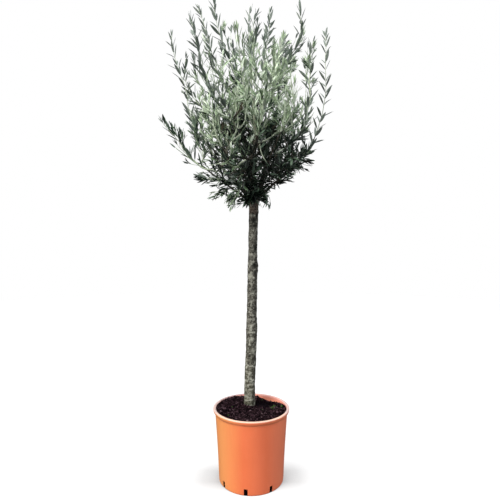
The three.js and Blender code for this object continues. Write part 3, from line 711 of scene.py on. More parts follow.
def make_pot():
    neck = POT_HEIGHT - RIM_DEPTH
    top = POT_HEIGHT
    profile = [(0, 0.0), (60, 0.0), (100, 0.0)]
    profile += arc(POT_FOOT_RADIUS - 6.5, 6.5, 6.5, -90, 0, 9)
    profile += [(wall_radius(z), z) for z in (14, 24, 40, 60, 80, 100, 120, 140, 170, 200, 230, 248, 256)]
    profile += [(wall_radius(neck - 6) + 0.1, neck - 6), (wall_radius(neck - 3) + 0.7, neck - 3)]
    # the rolled rim: out under the band, up its face, round its edge and over the top
    profile += [(wall_radius(neck) + 2.2, neck - 0.6), (RIM_RADIUS - 3.6, neck + 1.8)]
    profile += [(RIM_RADIUS - 2.0, neck + 4.0), (RIM_RADIUS - 1.0, neck + 6.4), (RIM_RADIUS - 0.5, neck + 9.0)]
    profile += arc(RIM_RADIUS - 3.0, top - 3.0, 3.0, 0, 90, 8)
    profile += [(RIM_RADIUS - 6.0, top - 0.1)]
    profile += arc(RIM_MOUTH_RADIUS + 2.2, top - 2.6, 2.2, 90, 180, 6)
    profile += [(RIM_MOUTH_RADIUS - 0.2, neck + 4), (wall_radius(neck - 4) - WALL, neck - 4)]
    profile += [(wall_radius(z) - WALL, z) for z in (240, 200, 160, 130, 100, 70, 30)]
    profile += [(wall_radius(FLOOR) - WALL - 2, FLOOR), (60, FLOOR), (0, FLOOR)]
    verts, faces = lathe(profile, 192)
    pot = mesh_object("pot_shell", verts, faces)

    cutters = []
    for i in range(SLOTS):
        turn = math.radians(SLOT_TURN + 360.0 / SLOTS * i)
        w, h = SLOT_WIDTH / 2, SLOT_HEIGHT
        r = 2.2
        outline = [(-w, -3.0), (w, -3.0)]
        outline += [(w - r + x, h - r + y) for x, y in arc(0, 0, r, 0, 90, 5)]
        outline += [(-w + r + x, h - r + y) for x, y in arc(0, 0, r, 90, 180, 5)]
        near, far = 106.0, 140.0
        vs, fs = [], []
        for d in (near, far):
            for s, z in outline:
                x, y = d, s
                vs.append((x * math.cos(turn) - y * math.sin(turn), x * math.sin(turn) + y * math.cos(turn), z))
        n = len(outline)
        fs.append(tuple(range(n))[::-1])
        fs.append(tuple(range(n, 2 * n)))
        for k in range(n):
            m = (k + 1) % n
            fs.append((k, m, n + m, n + k))
        cutters.append(mesh_object(f"slot_{i}", np.array(vs), fs, smooth=False))
    for c in cutters:
        mod = pot.modifiers.new("slot", "BOOLEAN")
        mod.operation = "DIFFERENCE"
        mod.solver = "EXACT"
        mod.object = c
    applied(pot)
    for c in cutters:
        bpy.data.objects.remove(c)
    smooth_by_angle(pot, 40)
    pot.data.materials.clear()
    pot.data.materials.append(pot_material())
    return pot


def smooth_by_angle(ob, degrees):
    """Smooth faces with the edges sharper than this left hard."""
    mesh = ob.data
    mesh.polygons.foreach_set("use_smooth", np.ones(len(mesh.polygons), dtype=bool))
    mesh.set_sharp_from_angle(angle=math.radians(degrees))


# ---------------------------------------------------------------------------------------------
# compost
# ---------------------------------------------------------------------------------------------
STEM_FOOT = np.array(STEM_LINE[0], float)


def soil_height(x, y):
    stem = np.hypot(x - STEM_FOOT[0], y - STEM_FOOT[1])
    edge = np.hypot(x, y) / RIM_MOUTH_RADIUS
    mound = SOIL_MOUND * np.exp(-((stem / 62) ** 2))
    heaped = sum(h * np.exp(-((np.hypot(x - hx, y - hy) / s) ** 2)) for hx, hy, s, h in SOIL_HEAPS)
    uneven = 1.6 * np.sin(x / 17 + 1.3) * np.cos(y / 21) + 1.2 * np.sin((x + y) / 11 + 0.4)
    return SOIL_EDGE + mound + heaped + uneven * (1 - np.minimum(1, edge) ** 4)


def make_compost():
    inside = wall_radius(SOIL_EDGE - 6) - WALL - 0.6
    radii = np.concatenate([np.linspace(0, inside, 64)[1:]])
    around = 220
    a = np.linspace(0, 2 * math.pi, around, endpoint=False)
    x = (radii[:, None] * np.cos(a)).ravel()
    y = (radii[:, None] * np.sin(a)).ravel()
    p = np.stack([x, y, np.zeros_like(x)], axis=1)
    bumps = 2.6 * fractal(p / 13.0, 4, 5, 0.55) + 1.4 * np.abs(fractal(p / 4.5, 2, 9))
    rim = np.clip((inside - np.hypot(x, y)) / 5.0, 0, 1)
    z = soil_height(x, y) + bumps * rim
    verts = [(0, 0, float(soil_height(0.0, 0.0)))] + list(zip(x, y, z))
    low = 0.8  # fills the slots right down to the floor
    base = len(verts)
    bottom = wall_radius(low) - WALL - 1.2
    verts += [(bottom * math.cos(t), bottom * math.sin(t), low) for t in a]
    verts.append((0, 0, low))
    faces = []
    n = around
    for k in range(n):
        m = (k + 1) % n
        faces.append((0, 1 + k, 1 + m))
        for j in range(len(radii) - 1):
            a0, b0 = 1 + j * n, 1 + (j + 1) * n
            faces.append((a0 + k, b0 + k, b0 + m, a0 + m))
        last = 1 + (len(radii) - 1) * n
        faces.append((last + k, base + k, base + m, last + m))
        faces.append((len(verts) - 1, base + m, base + k))
    ob = mesh_object("compost_bed", np.array(verts), faces)
    ob.data.materials.append(compost_material())
    return ob, inside


def make_crumbs(inside):
    """Crumbs of compost, bark and a few pale grains, as one mesh of small rough lumps."""
    t = (1 + 5**0.5) / 2
    ico = np.array(
        [(-1, t, 0), (1, t, 0), (-1, -t, 0), (1, -t, 0), (0, -1, t), (0, 1, t), (0, -1, -t), (0, 1, -t), (t, 0, -1), (t, 0, 1), (-t, 0, -1), (-t, 0, 1)]
    )
    ico /= np.linalg.norm(ico[0])
    tri = np.array(
        [(0, 11, 5), (0, 5, 1), (0, 1, 7), (0, 7, 10), (0, 10, 11), (1, 5, 9), (5, 11, 4), (11, 10, 2), (10, 7, 6), (7, 1, 8), (3, 9, 4), (3, 4, 2), (3, 2, 6), (3, 6, 8), (3, 8, 9), (4, 9, 5), (2, 4, 11), (6, 2, 10), (8, 6, 7), (9, 8, 1)]
    )
    tints = [
        (srgb(9, 4, 7), 0.40),
        (srgb(26, 14, 18), 0.26),
        (srgb(54, 38, 44), 0.19),
        (srgb(82, 64, 70), 0.125),
        (srgb(112, 94, 98), 0.02),
        (srgb(60, 88, 42), 0.005),
    ]
    count = 2300
    r = np.sqrt(rng.random(count)) * (inside - 4)
    a = rng.random(count) * 2 * math.pi
    x, y = r * np.cos(a), r * np.sin(a)
    size = 1.1 + 2.8 * rng.random(count) ** 2.2
    size[:160] *= 1.6
    keep = np.hypot(x - STEM_FOOT[0], y - STEM_FOOT[1]) > 24 + size
    x, y, size = x[keep], y[keep], size[keep]
    z = soil_height(x, y) + size * 0.25 + rng.random(len(x)) * 2.0
    verts = np.empty((len(x), 12, 3))
    for i in range(len(x)):
        stretch = np.array([1.0, 0.6 + 0.7 * rng.random(), 0.5 + 0.4 * rng.random()])
        lump = ico * (1 + 0.5 * (rng.random((12, 1)) - 0.5)) * stretch * size[i]
        q = rng.normal(size=(3, 3))
        q, _ = np.linalg.qr(q)
        verts[i] = lump @ q.T + (x[i], y[i], z[i])
    faces = (tri[None] + 12 * np.arange(len(x))[:, None, None]).reshape(-1, 3)
    ob = mesh_object("compost_crumbs", verts.reshape(-1, 3), faces, smooth=False)
    for k, (colour, share) in enumerate(tints):
        ob.data.materials.append(plain(f"crumb_{k}", colour, 0.9, 0.03))
    which = rng.choice(len(tints), size=len(x), p=np.array([s for _, s in tints]))
    mossy = (np.hypot(x - 100, y - 14) < 28) & (rng.random(len(x)) < 0.14)
    which[mossy] = 5
    # crumbs in the painted shadow behind the stem get the darkest tints
    stem_shadow = ((x - 45) / 48) ** 2 + ((y - 52) / 36) ** 2 < 0.9
    which[stem_shadow] = np.where(rng.random(int(stem_shadow.sum())) < 0.85, 0, 1)
    shaded = (np.hypot(x, y) > 119) & (y < -50) & (rng.random(len(x)) < 0.85)
    which[shaded] = 0
    ob.data.polygons.foreach_set("material_index", np.repeat(which, 20).astype(np.int32))
    return ob


# ---------------------------------------------------------------------------------------------
# limbs
# ---------------------------------------------------------------------------------------------
STEM_GIRTH = np.array(  # height, radius
    [(267, 21.8), (420, 22.2), (560, 21.9), (700, 20.4), (800, 19.2), (900, 17.6), (950, 17.3), (1040, 18.7), (1128, 19.4)]
)
KNOTS = [  # height, turn, how far it stands out, half length, depth of the hole in it
    (829, -14, 5.2, 20, 4.0),
    (1022, -90, 2.0, 12, 4.5),
    (560, 150, 3.0, 30, 0.0),
    (700, -60, 1.6, 12, 0.0),
    (430, -130, 1.5, 14, 0.0),
    (960, 160, 2.5, 18, 2.0),
    (1054, -25, 3.5, 11, 0.0),
]


def stem_radius(t, z):
    fine = np.linspace(STEM_GIRTH[0, 0], STEM_GIRTH[-1, 0], 200)
    girth = np.interp(fine, STEM_GIRTH[:, 0], STEM_GIRTH[:, 1])
    girth = np.convolve(np.pad(girth, 9, "edge"), np.ones(19) / 19, "valid")
    r = np.interp(z, fine, girth)
    r = r + 0.8 * np.exp(-t / 0.02)
    return r + 2.5 * np.exp(-(((1 - t) / 0.05) ** 2))


def frames(line):
    """Tangents and a turning-free pair of side vectors along a line."""
    tan = np.gradient(line, axis=0)
    tan /= np.maximum(1e-9, np.linalg.norm(tan, axis=1))[:, None]
    u = np.empty_like(line)
    start = np.array([0.0, 1.0, 0.0]) if abs(tan[0][1]) < 0.9 else np.array([1.0, 0.0, 0.0])
    u[0] = unit(start - tan[0] * np.dot(start, tan[0]))
    for i in range(1, len(line)):
        w = u[i - 1] - tan[i] * np.dot(u[i - 1], tan[i])
        u[i] = w / max(1e-9, np.linalg.norm(w))
    return tan, u, np.cross(tan, u)


def tube(line, radii, sides, cap=True):
    """Points and faces of a limb along a line, closed at both ends by a point."""
    tan, u, v = frames(line)
    a = np.linspace(0, 2 * math.pi, sides, endpoint=False)
    ring = np.cos(a)[None, :, None] * u[:, None, :] + np.sin(a)[None, :, None] * v[:, None, :]
    verts = (line[:, None, :] + ring * np.asarray(radii)[:, None, None]).reshape(-1, 3)
    n = len(line)
    verts = np.vstack([verts, line[0] - tan[0] * radii[0] * 0.3, line[-1] + tan[-1] * radii[-1] * 0.8])
    i = np.arange(n - 1)[:, None] * sides
    k = np.arange(sides)[None, :]
    m = (k + 1) % sides
    quads = np.stack([i + k, i + m, i + sides + m, i + sides + k], axis=-1).reshape(-1, 4)
    first, last = n * sides, n * sides + 1
    k = np.arange(sides)
    m = (k + 1) % sides
    ends = np.vstack(
        [
            np.stack([np.full(sides, first), m, k], axis=1),
            np.stack([np.full(sides, last), (n - 1) * sides + k, (n - 1) * sides + m], axis=1),
        ]
    )
    return verts, quads, ends


def make_bark():
    """The stem and its boughs as one skin, with the bark's ridges, pits and knots."""
    verts, faces, at = [], [], 0

    def put(line, radii, sides):
        nonlocal at
        v, q, e = tube(line, radii, sides)
        verts.append(v)
        faces.extend((q + at).tolist())
        faces.extend((e + at).tolist())
        at += len(v)

    stem = smooth_line(STEM_LINE, 6.0)
    t = np.linspace(0, 1, len(stem))
    put(stem, stem_radius(t, stem[:, 2]), 48)
    for name, points, r0, r1 in BOUGHS:
        line = smooth_line(points, 6.0)
        cut = int(len(line) * 0.86)
        s = np.linspace(0, 1, len(line))
        r = r0 + (r1 * 0.8 - r0) * s**0.42
        r = r + r0 * 0.35 * np.exp(-s / 0.05)
        put(line[: cut + 1], r[: cut + 1], 14)
    for name, points, r0, r1 in FORKS:
        line = smooth_line(points, 6.0)
        cut = int(len(line) * 0.6)
        s = np.linspace(0, 1, len(line))
        r = (r0 + (r1 - r0) * s**0.7) * 0.85
        put(line[: cut + 1], r[: cut + 1], 12)
    ob = mesh_object("stem_and_boughs", np.vstack(verts), faces)
    mod = ob.modifiers.new("skin", "REMESH")
    mod.mode = "VOXEL"
    mod.voxel_size = 1.9 * MM
    mod.adaptivity = 0.0
    soft = ob.modifiers.new("soft", "SMOOTH")
    soft.factor = 0.5
    soft.iterations = 5
    applied(ob)

    mesh = ob.data
    n = len(mesh.vertices)
    co = np.empty(n * 3)
    mesh.vertices.foreach_get("co", co)
    co = co.reshape(-1, 3) / MM
    nor = np.empty(n * 3)
    mesh.vertices.foreach_get("normal", nor)
    nor = nor.reshape(-1, 3)
    z = co[:, 2]
    cx = np.interp(z, stem[:, 2], stem[:, 0])
    cy = np.interp(z, stem[:, 2], stem[:, 1])
    out = np.hypot(co[:, 0] - cx, co[:, 1] - cy)
    turn = np.arctan2(co[:, 1] - cy, co[:, 0] - cx)
    on_stem = np.clip((1120 - z) / 30, 0, 1)
    away = np.clip((out - 26) / 8, 0, 1) * (z > 1080)
    on_stem = on_stem * (1 - away)
    # bark runs up and down, so its noise is stretched along the limb
    tall = co * np.array([1, 1, 0.42])
    ridges = 1 - np.abs(fractal(tall / 9.0, 3, 3, 0.55))
    plates = fractal(co * np.array([1, 1, 0.8]) / 16.0, 3, 21)
    lumps = noise(co * np.array([1, 1, 0.6]) / 34.0, 31)
    rings = np.clip(noise(np.stack([co[:, 0] / 30, co[:, 1] / 30, z / 7.0], axis=1), 55), 0, 1)
    cracks = np.clip((ridges - 0.86) / 0.14, 0, 1)
    cracks = cracks * np.clip(0.4 + noise(co / 40.0, 77), 0, 1)
    move = on_stem * (1.1 * plates + 1.4 * lumps - 1.5 * cracks + 0.8 * rings)
    move += (1 - on_stem) * (0.35 * plates + 0.4 * lumps)
    # painted shade: the cracks and the low spots between the plates, which are sunk in, are darkened
    dark = on_stem * np.clip(cracks * 0.9 + np.clip(-plates - 0.35, 0, 1) * 0.5, 0, 1)
    for height, degrees, stands, half, hole in KNOTS:
        d = np.angle(np.exp(1j * (turn - math.radians(degrees)))) * 20
        h = (z - height) / 1.0
        d2 = (d / (half * 0.55)) ** 2 + (h / half) ** 2
        move += on_stem * stands * np.exp(-d2)
        if hole:
            # the hole is sunk in and painted dark, as painted shade
            pit = np.exp(-(((d / 5.6) ** 2) + (h / 5.4) ** 2) * 1.1)
            move -= on_stem * hole * pit
            dark = np.maximum(dark, on_stem * pit)
    # roots just showing where the stem meets the compost
    low = np.exp(-np.clip(z - 267, 0, None) / 14)
    move += low * 1.2 * np.sin(3 * turn + 1.1)
    co = co + nor * move[:, None]
    co[:, 2] = np.maximum(co[:, 2], 264.5)
    mesh.vertices.foreach_set("co", (co * MM).ravel())
    mesh.update()

    lichen = np.clip((fractal(co / 11.0, 3, 91) - 0.30) / 0.35, 0, 1) * 0.5
    lichen = lichen * (1 - 0.65 * np.clip((z - 800) / 120, 0, 1))
    spots = np.clip((noise(co / 5.0, 19) - 0.50) / 0.2, 0, 1) * 0.8
    bands = np.clip((noise(np.stack([co[:, 0] / 26, co[:, 1] / 26, z / 4.5], axis=1), 12) - 0.46) / 0.2, 0, 1)
    lichen = np.clip(lichen + spots * 0.6 + bands * 0.5, 0, 1) * on_stem
    # pale scars: height, turn, half height, half width, strength
    for height, degrees, hh, ww, s in (
        (341, -80, 2.4, 9, 0.9),
        (600, -95, 5, 8, 0.75),
        (572, -62, 3.5, 3.5, 1.0),
        (690, -100, 16, 5, 0.5),
        (640, -75, 4, 7, 0.5),
        (500, -70, 12, 5, 0.45),
        (905, -92, 3, 7, 0.35),
        (862, -105, 18, 5, 0.30),
        (770, -100, 14, 4, 0.35),
    ):
        d = np.angle(np.exp(1j * (turn - math.radians(degrees)))) * 21
        rough = 1 + 0.5 * noise(co / 4.0, 7)
        lichen = np.maximum(lichen, s * on_stem * np.exp(-(((z - height) / hh) ** 2 + (d / ww) ** 2) * rough))
    pits = np.clip((noise(co / np.array([5.0, 5.0, 3.6]), 63) - 0.34) / 0.3, 0, 1)
    dark = np.maximum(dark, 0.75 * pits * on_stem)
    # dark patches
    for height, degrees, hh, ww, s in (
        (1018, -88, 13, 11, 1.0),
        (1036, -48, 9, 9, 1.0),
        (988, -100, 4, 9, 0.5),
        (909, -56, 17, 8, 1.0),
        (934, -60, 6, 8, 0.6),
        (840, -62, 14, 12, 1.0),
        (812, -54, 12, 7, 0.9),
        (780, -58, 7, 7, 0.7),
        (745, -72, 8, 7, 0.6),
        (706, -100, 5, 9, 0.5),
        (650, -66, 9, 6, 0.6),
        (520, -80, 5, 9, 0.5),
        (462, -66, 8, 6, 0.5),
    ):
        d = np.angle(np.exp(1j * (turn - math.radians(degrees)))) * 19
        rough = 1 + 0.7 * noise(co / 3.5, 41)
        dark = np.maximum(dark, s * on_stem * np.exp(-(((z - height) / hh) ** 2 + (d / ww) ** 2) * rough))
    young = np.clip((z - 1150) / 120, 0, 1) * (1 - on_stem)
    shade = np.array([in_shade(q) for q in co[z > 1120]])
    every = np.zeros(n)
    every[z > 1120] = shade * (1 - on_stem[z > 1120])
    for key, values in (("cavity", dark), ("lichen", lichen), ("young", young), ("shade", every)):
        attribute = mesh.attributes.new(key, "FLOAT", "POINT")
        attribute.data.foreach_set("value", values.astype(np.float32))
    mesh.polygons.foreach_set("use_smooth", np.ones(len(mesh.polygons), dtype=bool))
    mesh.materials.clear()
    mesh.materials.append(bark_material())
    return ob


# ---------------------------------------------------------------------------------------------
# growth
# ---------------------------------------------------------------------------------------------
UP = np.array([0.0, 0.0, 1.0])
MIDDLE = np.array([4.0, 2.0])  # the upright through the crown's middle
STEP = 11.0


class Growth:
    """Every limb's nodes, each with the node that it grew from."""

    def __init__(self, room=60000):
        self.p = np.zeros((room, 3))
        self.t = np.zeros((room, 3))
        self.parent = np.full(room, -1)
        self.least = np.zeros(room)
        self.open = np.zeros(room, bool)  # may carry another shoot
        self.n = 0
        self.chains = []

    def add(self, start, line, level, least=None, open_to=1.0):
        tan = np.gradient(line, axis=0)
        tan /= np.maximum(1e-9, np.linalg.norm(tan, axis=1))[:, None]
        ids = [start] if start >= 0 else []
        first = 1 if start >= 0 else 0
        for i in range(first, len(line)):
            k = self.n
            self.n += 1
            self.p[k] = line[i]
            self.t[k] = tan[i]
            self.parent[k] = ids[-1] if ids else -1
            self.least[k] = 0 if least is None else least[i]
            self.open[k] = i <= open_to * len(line)
            ids.append(k)
        self.chains.append({"ids": ids, "level": level})
        return ids

    def nearest(self, target, below=0.55):
        """The open node from which a shoot to the target is shortest and least bent back."""
        k = np.nonzero(self.open[: self.n])[0]
        d = target - self.p[k]
        dist = np.linalg.norm(d, axis=1)
        u = d / np.maximum(1.0, dist)[:, None]
        back = np.clip(0.35 - np.einsum("ij,ij->i", u, self.t[k]), 0, 2)
        fall = np.clip(below - u[:, 2], 0, 2)
        cost = dist * (1 + 0.9 * back + 1.1 * fall) + np.where(dist < 38, 60, 0)
        return k[int(np.argmin(cost))]


def hermite(a, da, b, db, step):
    n = 24
    s = np.linspace(0, 1, n)[:, None]
    h = (2 * s**3 - 3 * s**2 + 1) * a + (s**3 - 2 * s**2 + s) * da
    h = h + (-2 * s**3 + 3 * s**2) * b + (s**3 - s**2) * db
    return even(h, step)


def wobble(line, amount):
    """A little waywardness, none at the foot."""
    n = len(line)
    s = np.linspace(0, 1, n)
    for _ in range(2):
        axis = rng.normal(size=3)
        axis[2] *= 0.3
        wave = np.sin(s * math.pi * (1.0 + 2.0 * rng.random()) + rng.random() * 6) * s
        line = line + unit(axis) * (wave * amount)[:, None]
    return line


def out_of(p):
    d = np.array([p[0] - MIDDLE[0], p[1] - MIDDLE[1], 0.0])
    n = np.linalg.norm(d)
    return d / n if n > 1 else np.array([rng.normal(), rng.normal(), 0.0])


def mass_tree(names):
    """A search tree over the faces of some masses, in mm."""
    verts, faces, at = [], [], 0
    for name in names:
        mesh = frame["nodes"][name].data
        co = np.empty(len(mesh.vertices) * 3)
        mesh.vertices.foreach_get("co", co)
        co = co.reshape(-1, 3) / MM
        verts.extend(Vector(c) for c in co)
        faces.extend(tuple(v + at for v in p.vertices) for p in mesh.polygons)
        at += len(co)
    return BVHTree.FromPolygons(verts, faces)


def within(line, least=3):
    """The part of a line, from its foot, that stays in the masses or close to them."""
    for i in range(least, len(line)):
        if beyond(crown, line[i]) > 5:
            return line[:i] if i > least else None
    return line


def beyond(bvh, p):
    """How far a point lies outside the masses (negative inside)."""
    at, normal, index, dist = bvh.find_nearest(Vector(p))
    return dist if (Vector(p) - at).dot(normal) > 0 else -dist


def room(p):
    """How far leaves may stand out of the masses: more round the fork, close to the wood."""
    near = math.hypot(p[0] - 8, p[1] - 4) < 86 and 1060 < p[2] < 1175
    return 40.0 if near else 12.0


tree = Growth()
LIMB_IDS = {}  # pale limbs in front: ids, how many of them are bare
LEAFY = []  # limbs that carry leaves: ids, first node, way of leafing, mass
MASSES = sorted(n for n in frame["nodes"] if n.startswith("leaves_"))
CLUMPS = [n for n in MASSES if n[7:] not in SPRAYS]
crown = mass_tree(MASSES)


def grow_boughs():
    for name, points, r0, r1 in BOUGHS:
        line = smooth_line(points, STEP)
        s = np.linspace(0, 1, len(line))
        ids = tree.add(-1, line, 0, r0 + (r1 * 0.8 - r0) * s**0.42)
        for k in ids[: len(ids) // 5]:
            tree.open[k] = False
    for name, points, r0, r1 in FORKS:
        start = int(np.argmin(np.linalg.norm(tree.p[: tree.n] - np.array(points[0], float), axis=1)))
        line = smooth_line([tuple(tree.p[start])] + points[1:], STEP)
        s = np.linspace(0, 1, len(line))
        tree.add(start, line, 0, (r0 + (r1 - r0) * s**0.7) * 0.85)
    for name, (r0, r1, bare, points) in LIMBS.items():
        first = np.array(points[0], float)
        start = int(np.argmin(np.linalg.norm(tree.p[: tree.n] - first, axis=1)))
        line = smooth_line([tuple(tree.p[start])] + points[1:], STEP)
        s = np.linspace(0, 1, len(line))
        ids = tree.add(start, line, 1, r0 + (r1 - r0) * s)
        for k in ids[1 : int(len(ids) * bare)]:
            tree.open[k] = False
        LIMB_IDS[name] = (ids, int(len(ids) * bare))
        LEAFY.append(dict(ids=ids, skip=int(len(ids) * bare), way="limb", mass=nearest_mass(tree.p[ids[-1]])))


def nearest_mass(p):
    best, name = 1e9, None
    for m in MASSES:
        lo, hi = BOXES[m]
        d = np.linalg.norm(np.maximum(0, np.maximum(lo - p, p - hi)))
        d += 0.05 * np.linalg.norm((lo + hi) / 2 - p)
        if d < best:
            best, name = d, m
    return name


BOXES = {m: tuple(np.array(c, float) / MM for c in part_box(m)) for m in MASSES}


def grow_leaders():
    for name, (a, m, b, radius) in SPRAYS.items():
        a, m, b = (np.array(q, float) for q in (a, m, b))
        hanging = name in HANGING
        style = WAND_STYLE.get(name, (21.0, 47.0, 3, 0.6))
        if name in WANDS:
            spine = smooth_line(WANDS[name], STEP)
            a = spine[0]
        else:
            control = 2 * m - (a + b) / 2
            s = np.linspace(0, 1, 40)[:, None]
            spine = (1 - s) ** 2 * a + 2 * s * (1 - s) * control + s**2 * b
            spine = even(spine, STEP)[: -1 if hanging else -2]
        start = tree.nearest(a, below=-1.0 if hanging else 0.2)
        foot = tree.p[start]
        d = np.linalg.norm(a - foot)
        da = unit(0.6 * tree.t[start] + 0.6 * unit(a - foot)) * d
        lead = hermite(foot, da, a, unit(spine[2] - spine[0]) * d, STEP)
        line = even(np.vstack([lead[:-1], spine]), STEP)
        if name not in WANDS:
            line = wobble(line, 3.0)
        s = np.linspace(0, 1, len(line))
        ids = tree.add(start, line, 1, 1.9 - 0.95 * s)
        length = len(lead)
        tree.open[ids[-3:]] = False
        LEAFY.append(
            dict(ids=ids, skip=max(2, int(length * 0.7)), way="hang" if hanging else "wand", mass=f"leaves_{name}", gap=style[0], length=style[1])
        )
        # side shoots on its lower part
        spine_ids = ids[length:]
        n_side = (1 if name == "right_foot_spray" else 3) if hanging else style[2]
        turn = rng.random() * 6.283
        for j in range(n_side):
            at = 0.02 + style[3] * (j + 0.6 * rng.random()) / max(1, n_side)
            k = spine_ids[min(len(spine_ids) - 2, int(at * len(spine_ids)))]
            turn += 2.4 + 0.5 * rng.normal()
            t = tree.t[k]
            ref = unit(np.cross(t, UP) + 1e-3)
            ref2 = np.cross(t, ref)
            side = math.cos(turn) * ref + math.sin(turn) * ref2
            if name == "left_low_wand":
                side = unit(side * 0.7 + UP)
            reach = radius * (1.4 + 0.6 * rng.random()) * (1 - 0.3 * at)
            if hanging:
                tip = tree.p[k] + t * reach * 0.9 + side * radius * 0.6
                dirn = unit(t + 0.4 * side)
            else:
                tip = tree.p[k] + t * reach * 1.6 + side * radius * 0.5
                dirn = unit(t + 0.10 * side + 0.4 * UP)
            d = np.linalg.norm(tip - tree.p[k])
            line = hermite(tree.p[k], unit(t + 0.8 * side) * d * 0.9, tip, dirn * d * 0.8, STEP)
            line = within(wobble(line, 2.0))
            if line is None:
                continue
            sid = tree.add(k, line, 2, open_to=0.0)
            LEAFY.append(dict(ids=sid, skip=1, way="hang" if hanging else "side", mass=f"leaves_{name}"))


def inside_points(node, tries, seed):
    """Points spread through a mass, with their depths below its skin."""
    r = np.random.default_rng(seed)
    bvh = mass_tree([node])
    lo, hi = BOXES[node]
    out = []
    for p in lo + (hi - lo) * r.random((tries, 3)):
        d = beyond(bvh, p)
        if d < 0:
            out.append((*p, -d))
    return np.array(out), len(out) / tries * np.prod(hi - lo) / 1e6


def grow_clump_limbs():
    """Two limbs of its own into each clump, from the nearest bough."""
    for name in CLUMPS:
        lo, hi = BOXES[name]
        middle, half = (lo + hi) / 2, (hi - lo) / 2
        for j in range(2):
            target = middle + out_of(middle) * half[0] * 0.25 + UP * half[2] * (0.15 + 0.25 * j)
            target = target + rng.normal(size=3) * half * 0.22
            k = tree.nearest(target, below=0.3)
            d = np.linalg.norm(target - tree.p[k])
            if d < 45:
                continue
            t = tree.t[k]
            da = unit(0.7 * t + 0.5 * unit(target - tree.p[k]) + 0.25 * out_of(tree.p[k])) * d
            db = unit(0.5 * unit(target - tree.p[k]) + 0.9 * UP + 0.15 * out_of(target)) * d * 0.9
            line = wobble(hermite(tree.p[k], da, target, db, STEP), 4.0)
            ids = tree.add(k, line, 1)
            LEAFY.append(dict(ids=ids, skip=int(len(ids) * 0.5), way="core", mass=name))


def density_of(name):
    """Shoots to the litre, most in the low masses that close the crown's underside."""
    label = name[7:]
    for start, value in (("low_", 34.0), ("lower_", 26.0), ("middle_", 19.0), ("heart", 8.0), ("upper_", 14.0), ("crest", 13.0)):
        if label.startswith(start):
            return value
    return 10.0


EYE = np.array([-5.0, -1610.0, 901.5])  # where the photograph was taken from


def seen_at(p):
    """Where a point is seen on the upright plane through the stem."""
    k = -EYE[1] / (p[1] - EYE[1])
    return EYE[0] + (p[0] - EYE[0]) * k, EYE[2] + (p[2] - EYE[2]) * k


def left_clear(p):
    """Whether nothing at all grows here."""
    x, z = seen_at(p)
    return any(((x - ox) / hx) ** 2 + ((z - oz) / hz) ** 2 < 1 for ox, oz, hx, hz, kept in OPEN if kept < 0.05)


def grow_shoots():
    """Shoots from the nearest limb to places spread evenly through each clump, inner ones first."""
    chosen = np.empty((0, 3))
    targets = []
    for i, name in enumerate(CLUMPS):
        points, litres = inside_points(name, 1500, 100 + i)
        places, depth = points[:, :3], points[:, 3]
        keen = 1.0 - 0.35 * np.clip((depth - 30) / 50, 0, 1)
        gap = np.full(len(places), 80.0)
        if len(chosen):
            for c in chosen:
                gap = np.minimum(gap, np.linalg.norm(places - c, axis=1))
        count = int(litres * density_of(name))
        for _ in range(count):
            k = int(np.argmax(gap * keen))
            targets.append((name, places[k], depth[k]))
            chosen = np.vstack([chosen, places[k]])
            gap = np.minimum(gap, np.linalg.norm(places - places[k], axis=1))
    for x, y, z, hx, hy, hz, count in FULL:
        for _ in range(count):
            q = unit(rng.normal(size=3)) * rng.random() ** 0.4
            p = np.array([x, y, z]) + q * (hx, hy, hz)
            if beyond(crown, p) < room(p) + 2:
                targets.append((nearest_mass(p), p, 0.0))
    targets.sort(key=lambda t: np.hypot(t[1][0] - 8, t[1][1] - 10) + abs(t[1][2] - 1230) * 0.55)
    for name, tip, depth in targets:
        low = tip[2] < 1250
        k = tree.nearest(tip, below=-0.2 if low else 0.5)
        foot = tree.p[k]
        d = np.linalg.norm(tip - foot)
        if d < 24 or d > 240:
            continue
        t = tree.t[k]
        out = out_of(tip)
        u = unit(tip - foot)
        if low:
            da = unit(0.3 * t + 0.8 * u + 0.2 * out) * d
            db = unit(0.8 * u + 0.6 * out + (0.35 - 0.7 * rng.random()) * UP + 0.25 * rng.normal(size=3)) * d * 0.8
        else:
            rise = np.clip((tip[2] - 1250) / 220, 0, 1)
            da = unit(0.35 * t + 0.7 * u + 0.4 * out) * d
            db = unit(0.6 * u + (0.45 + 0.5 * rise) * UP + (0.4 - 0.3 * rise) * out + 0.14 * rng.normal(size=3)) * d * 0.85
        line = wobble(hermite(foot, da, tip, db, STEP), 3.0)
        if beyond(crown, line[-1]) > room(line[-1]) or left_clear(line[-1]):
            continue
        ids = tree.add(k, line, 2, open_to=0.6)
        LEAFY.append(dict(ids=ids, skip=1 if d < 100 else int(len(ids) * 0.25), way="low" if low else "core", mass=name))


def radii_of_limbs():
    """Each limb is as thick as what it carries needs."""
    n = tree.n
    power = 2.35
    load = np.zeros(n)
    r = np.zeros(n)
    for i in range(n - 1, -1, -1):
        r[i] = load[i] ** (1 / power) + 0.022 if load[i] > 0 else 0.72
        r[i] = max(min(max(r[i], 0.72), 7.5), tree.least[i])
        if tree.parent[i] >= 0:
            load[tree.parent[i]] += min(r[i], 3.2) ** power
    return r


# ---------------------------------------------------------------------------------------------
# leaves
# ---------------------------------------------------------------------------------------------
SECTIONS = np.array([0.0, 0.09, 0.27, 0.52, 0.78, 1.0])  # along the blade
WIDTHS = np.array([0.10, 0.17, 0.82, 1.0, 0.70, 0.0])


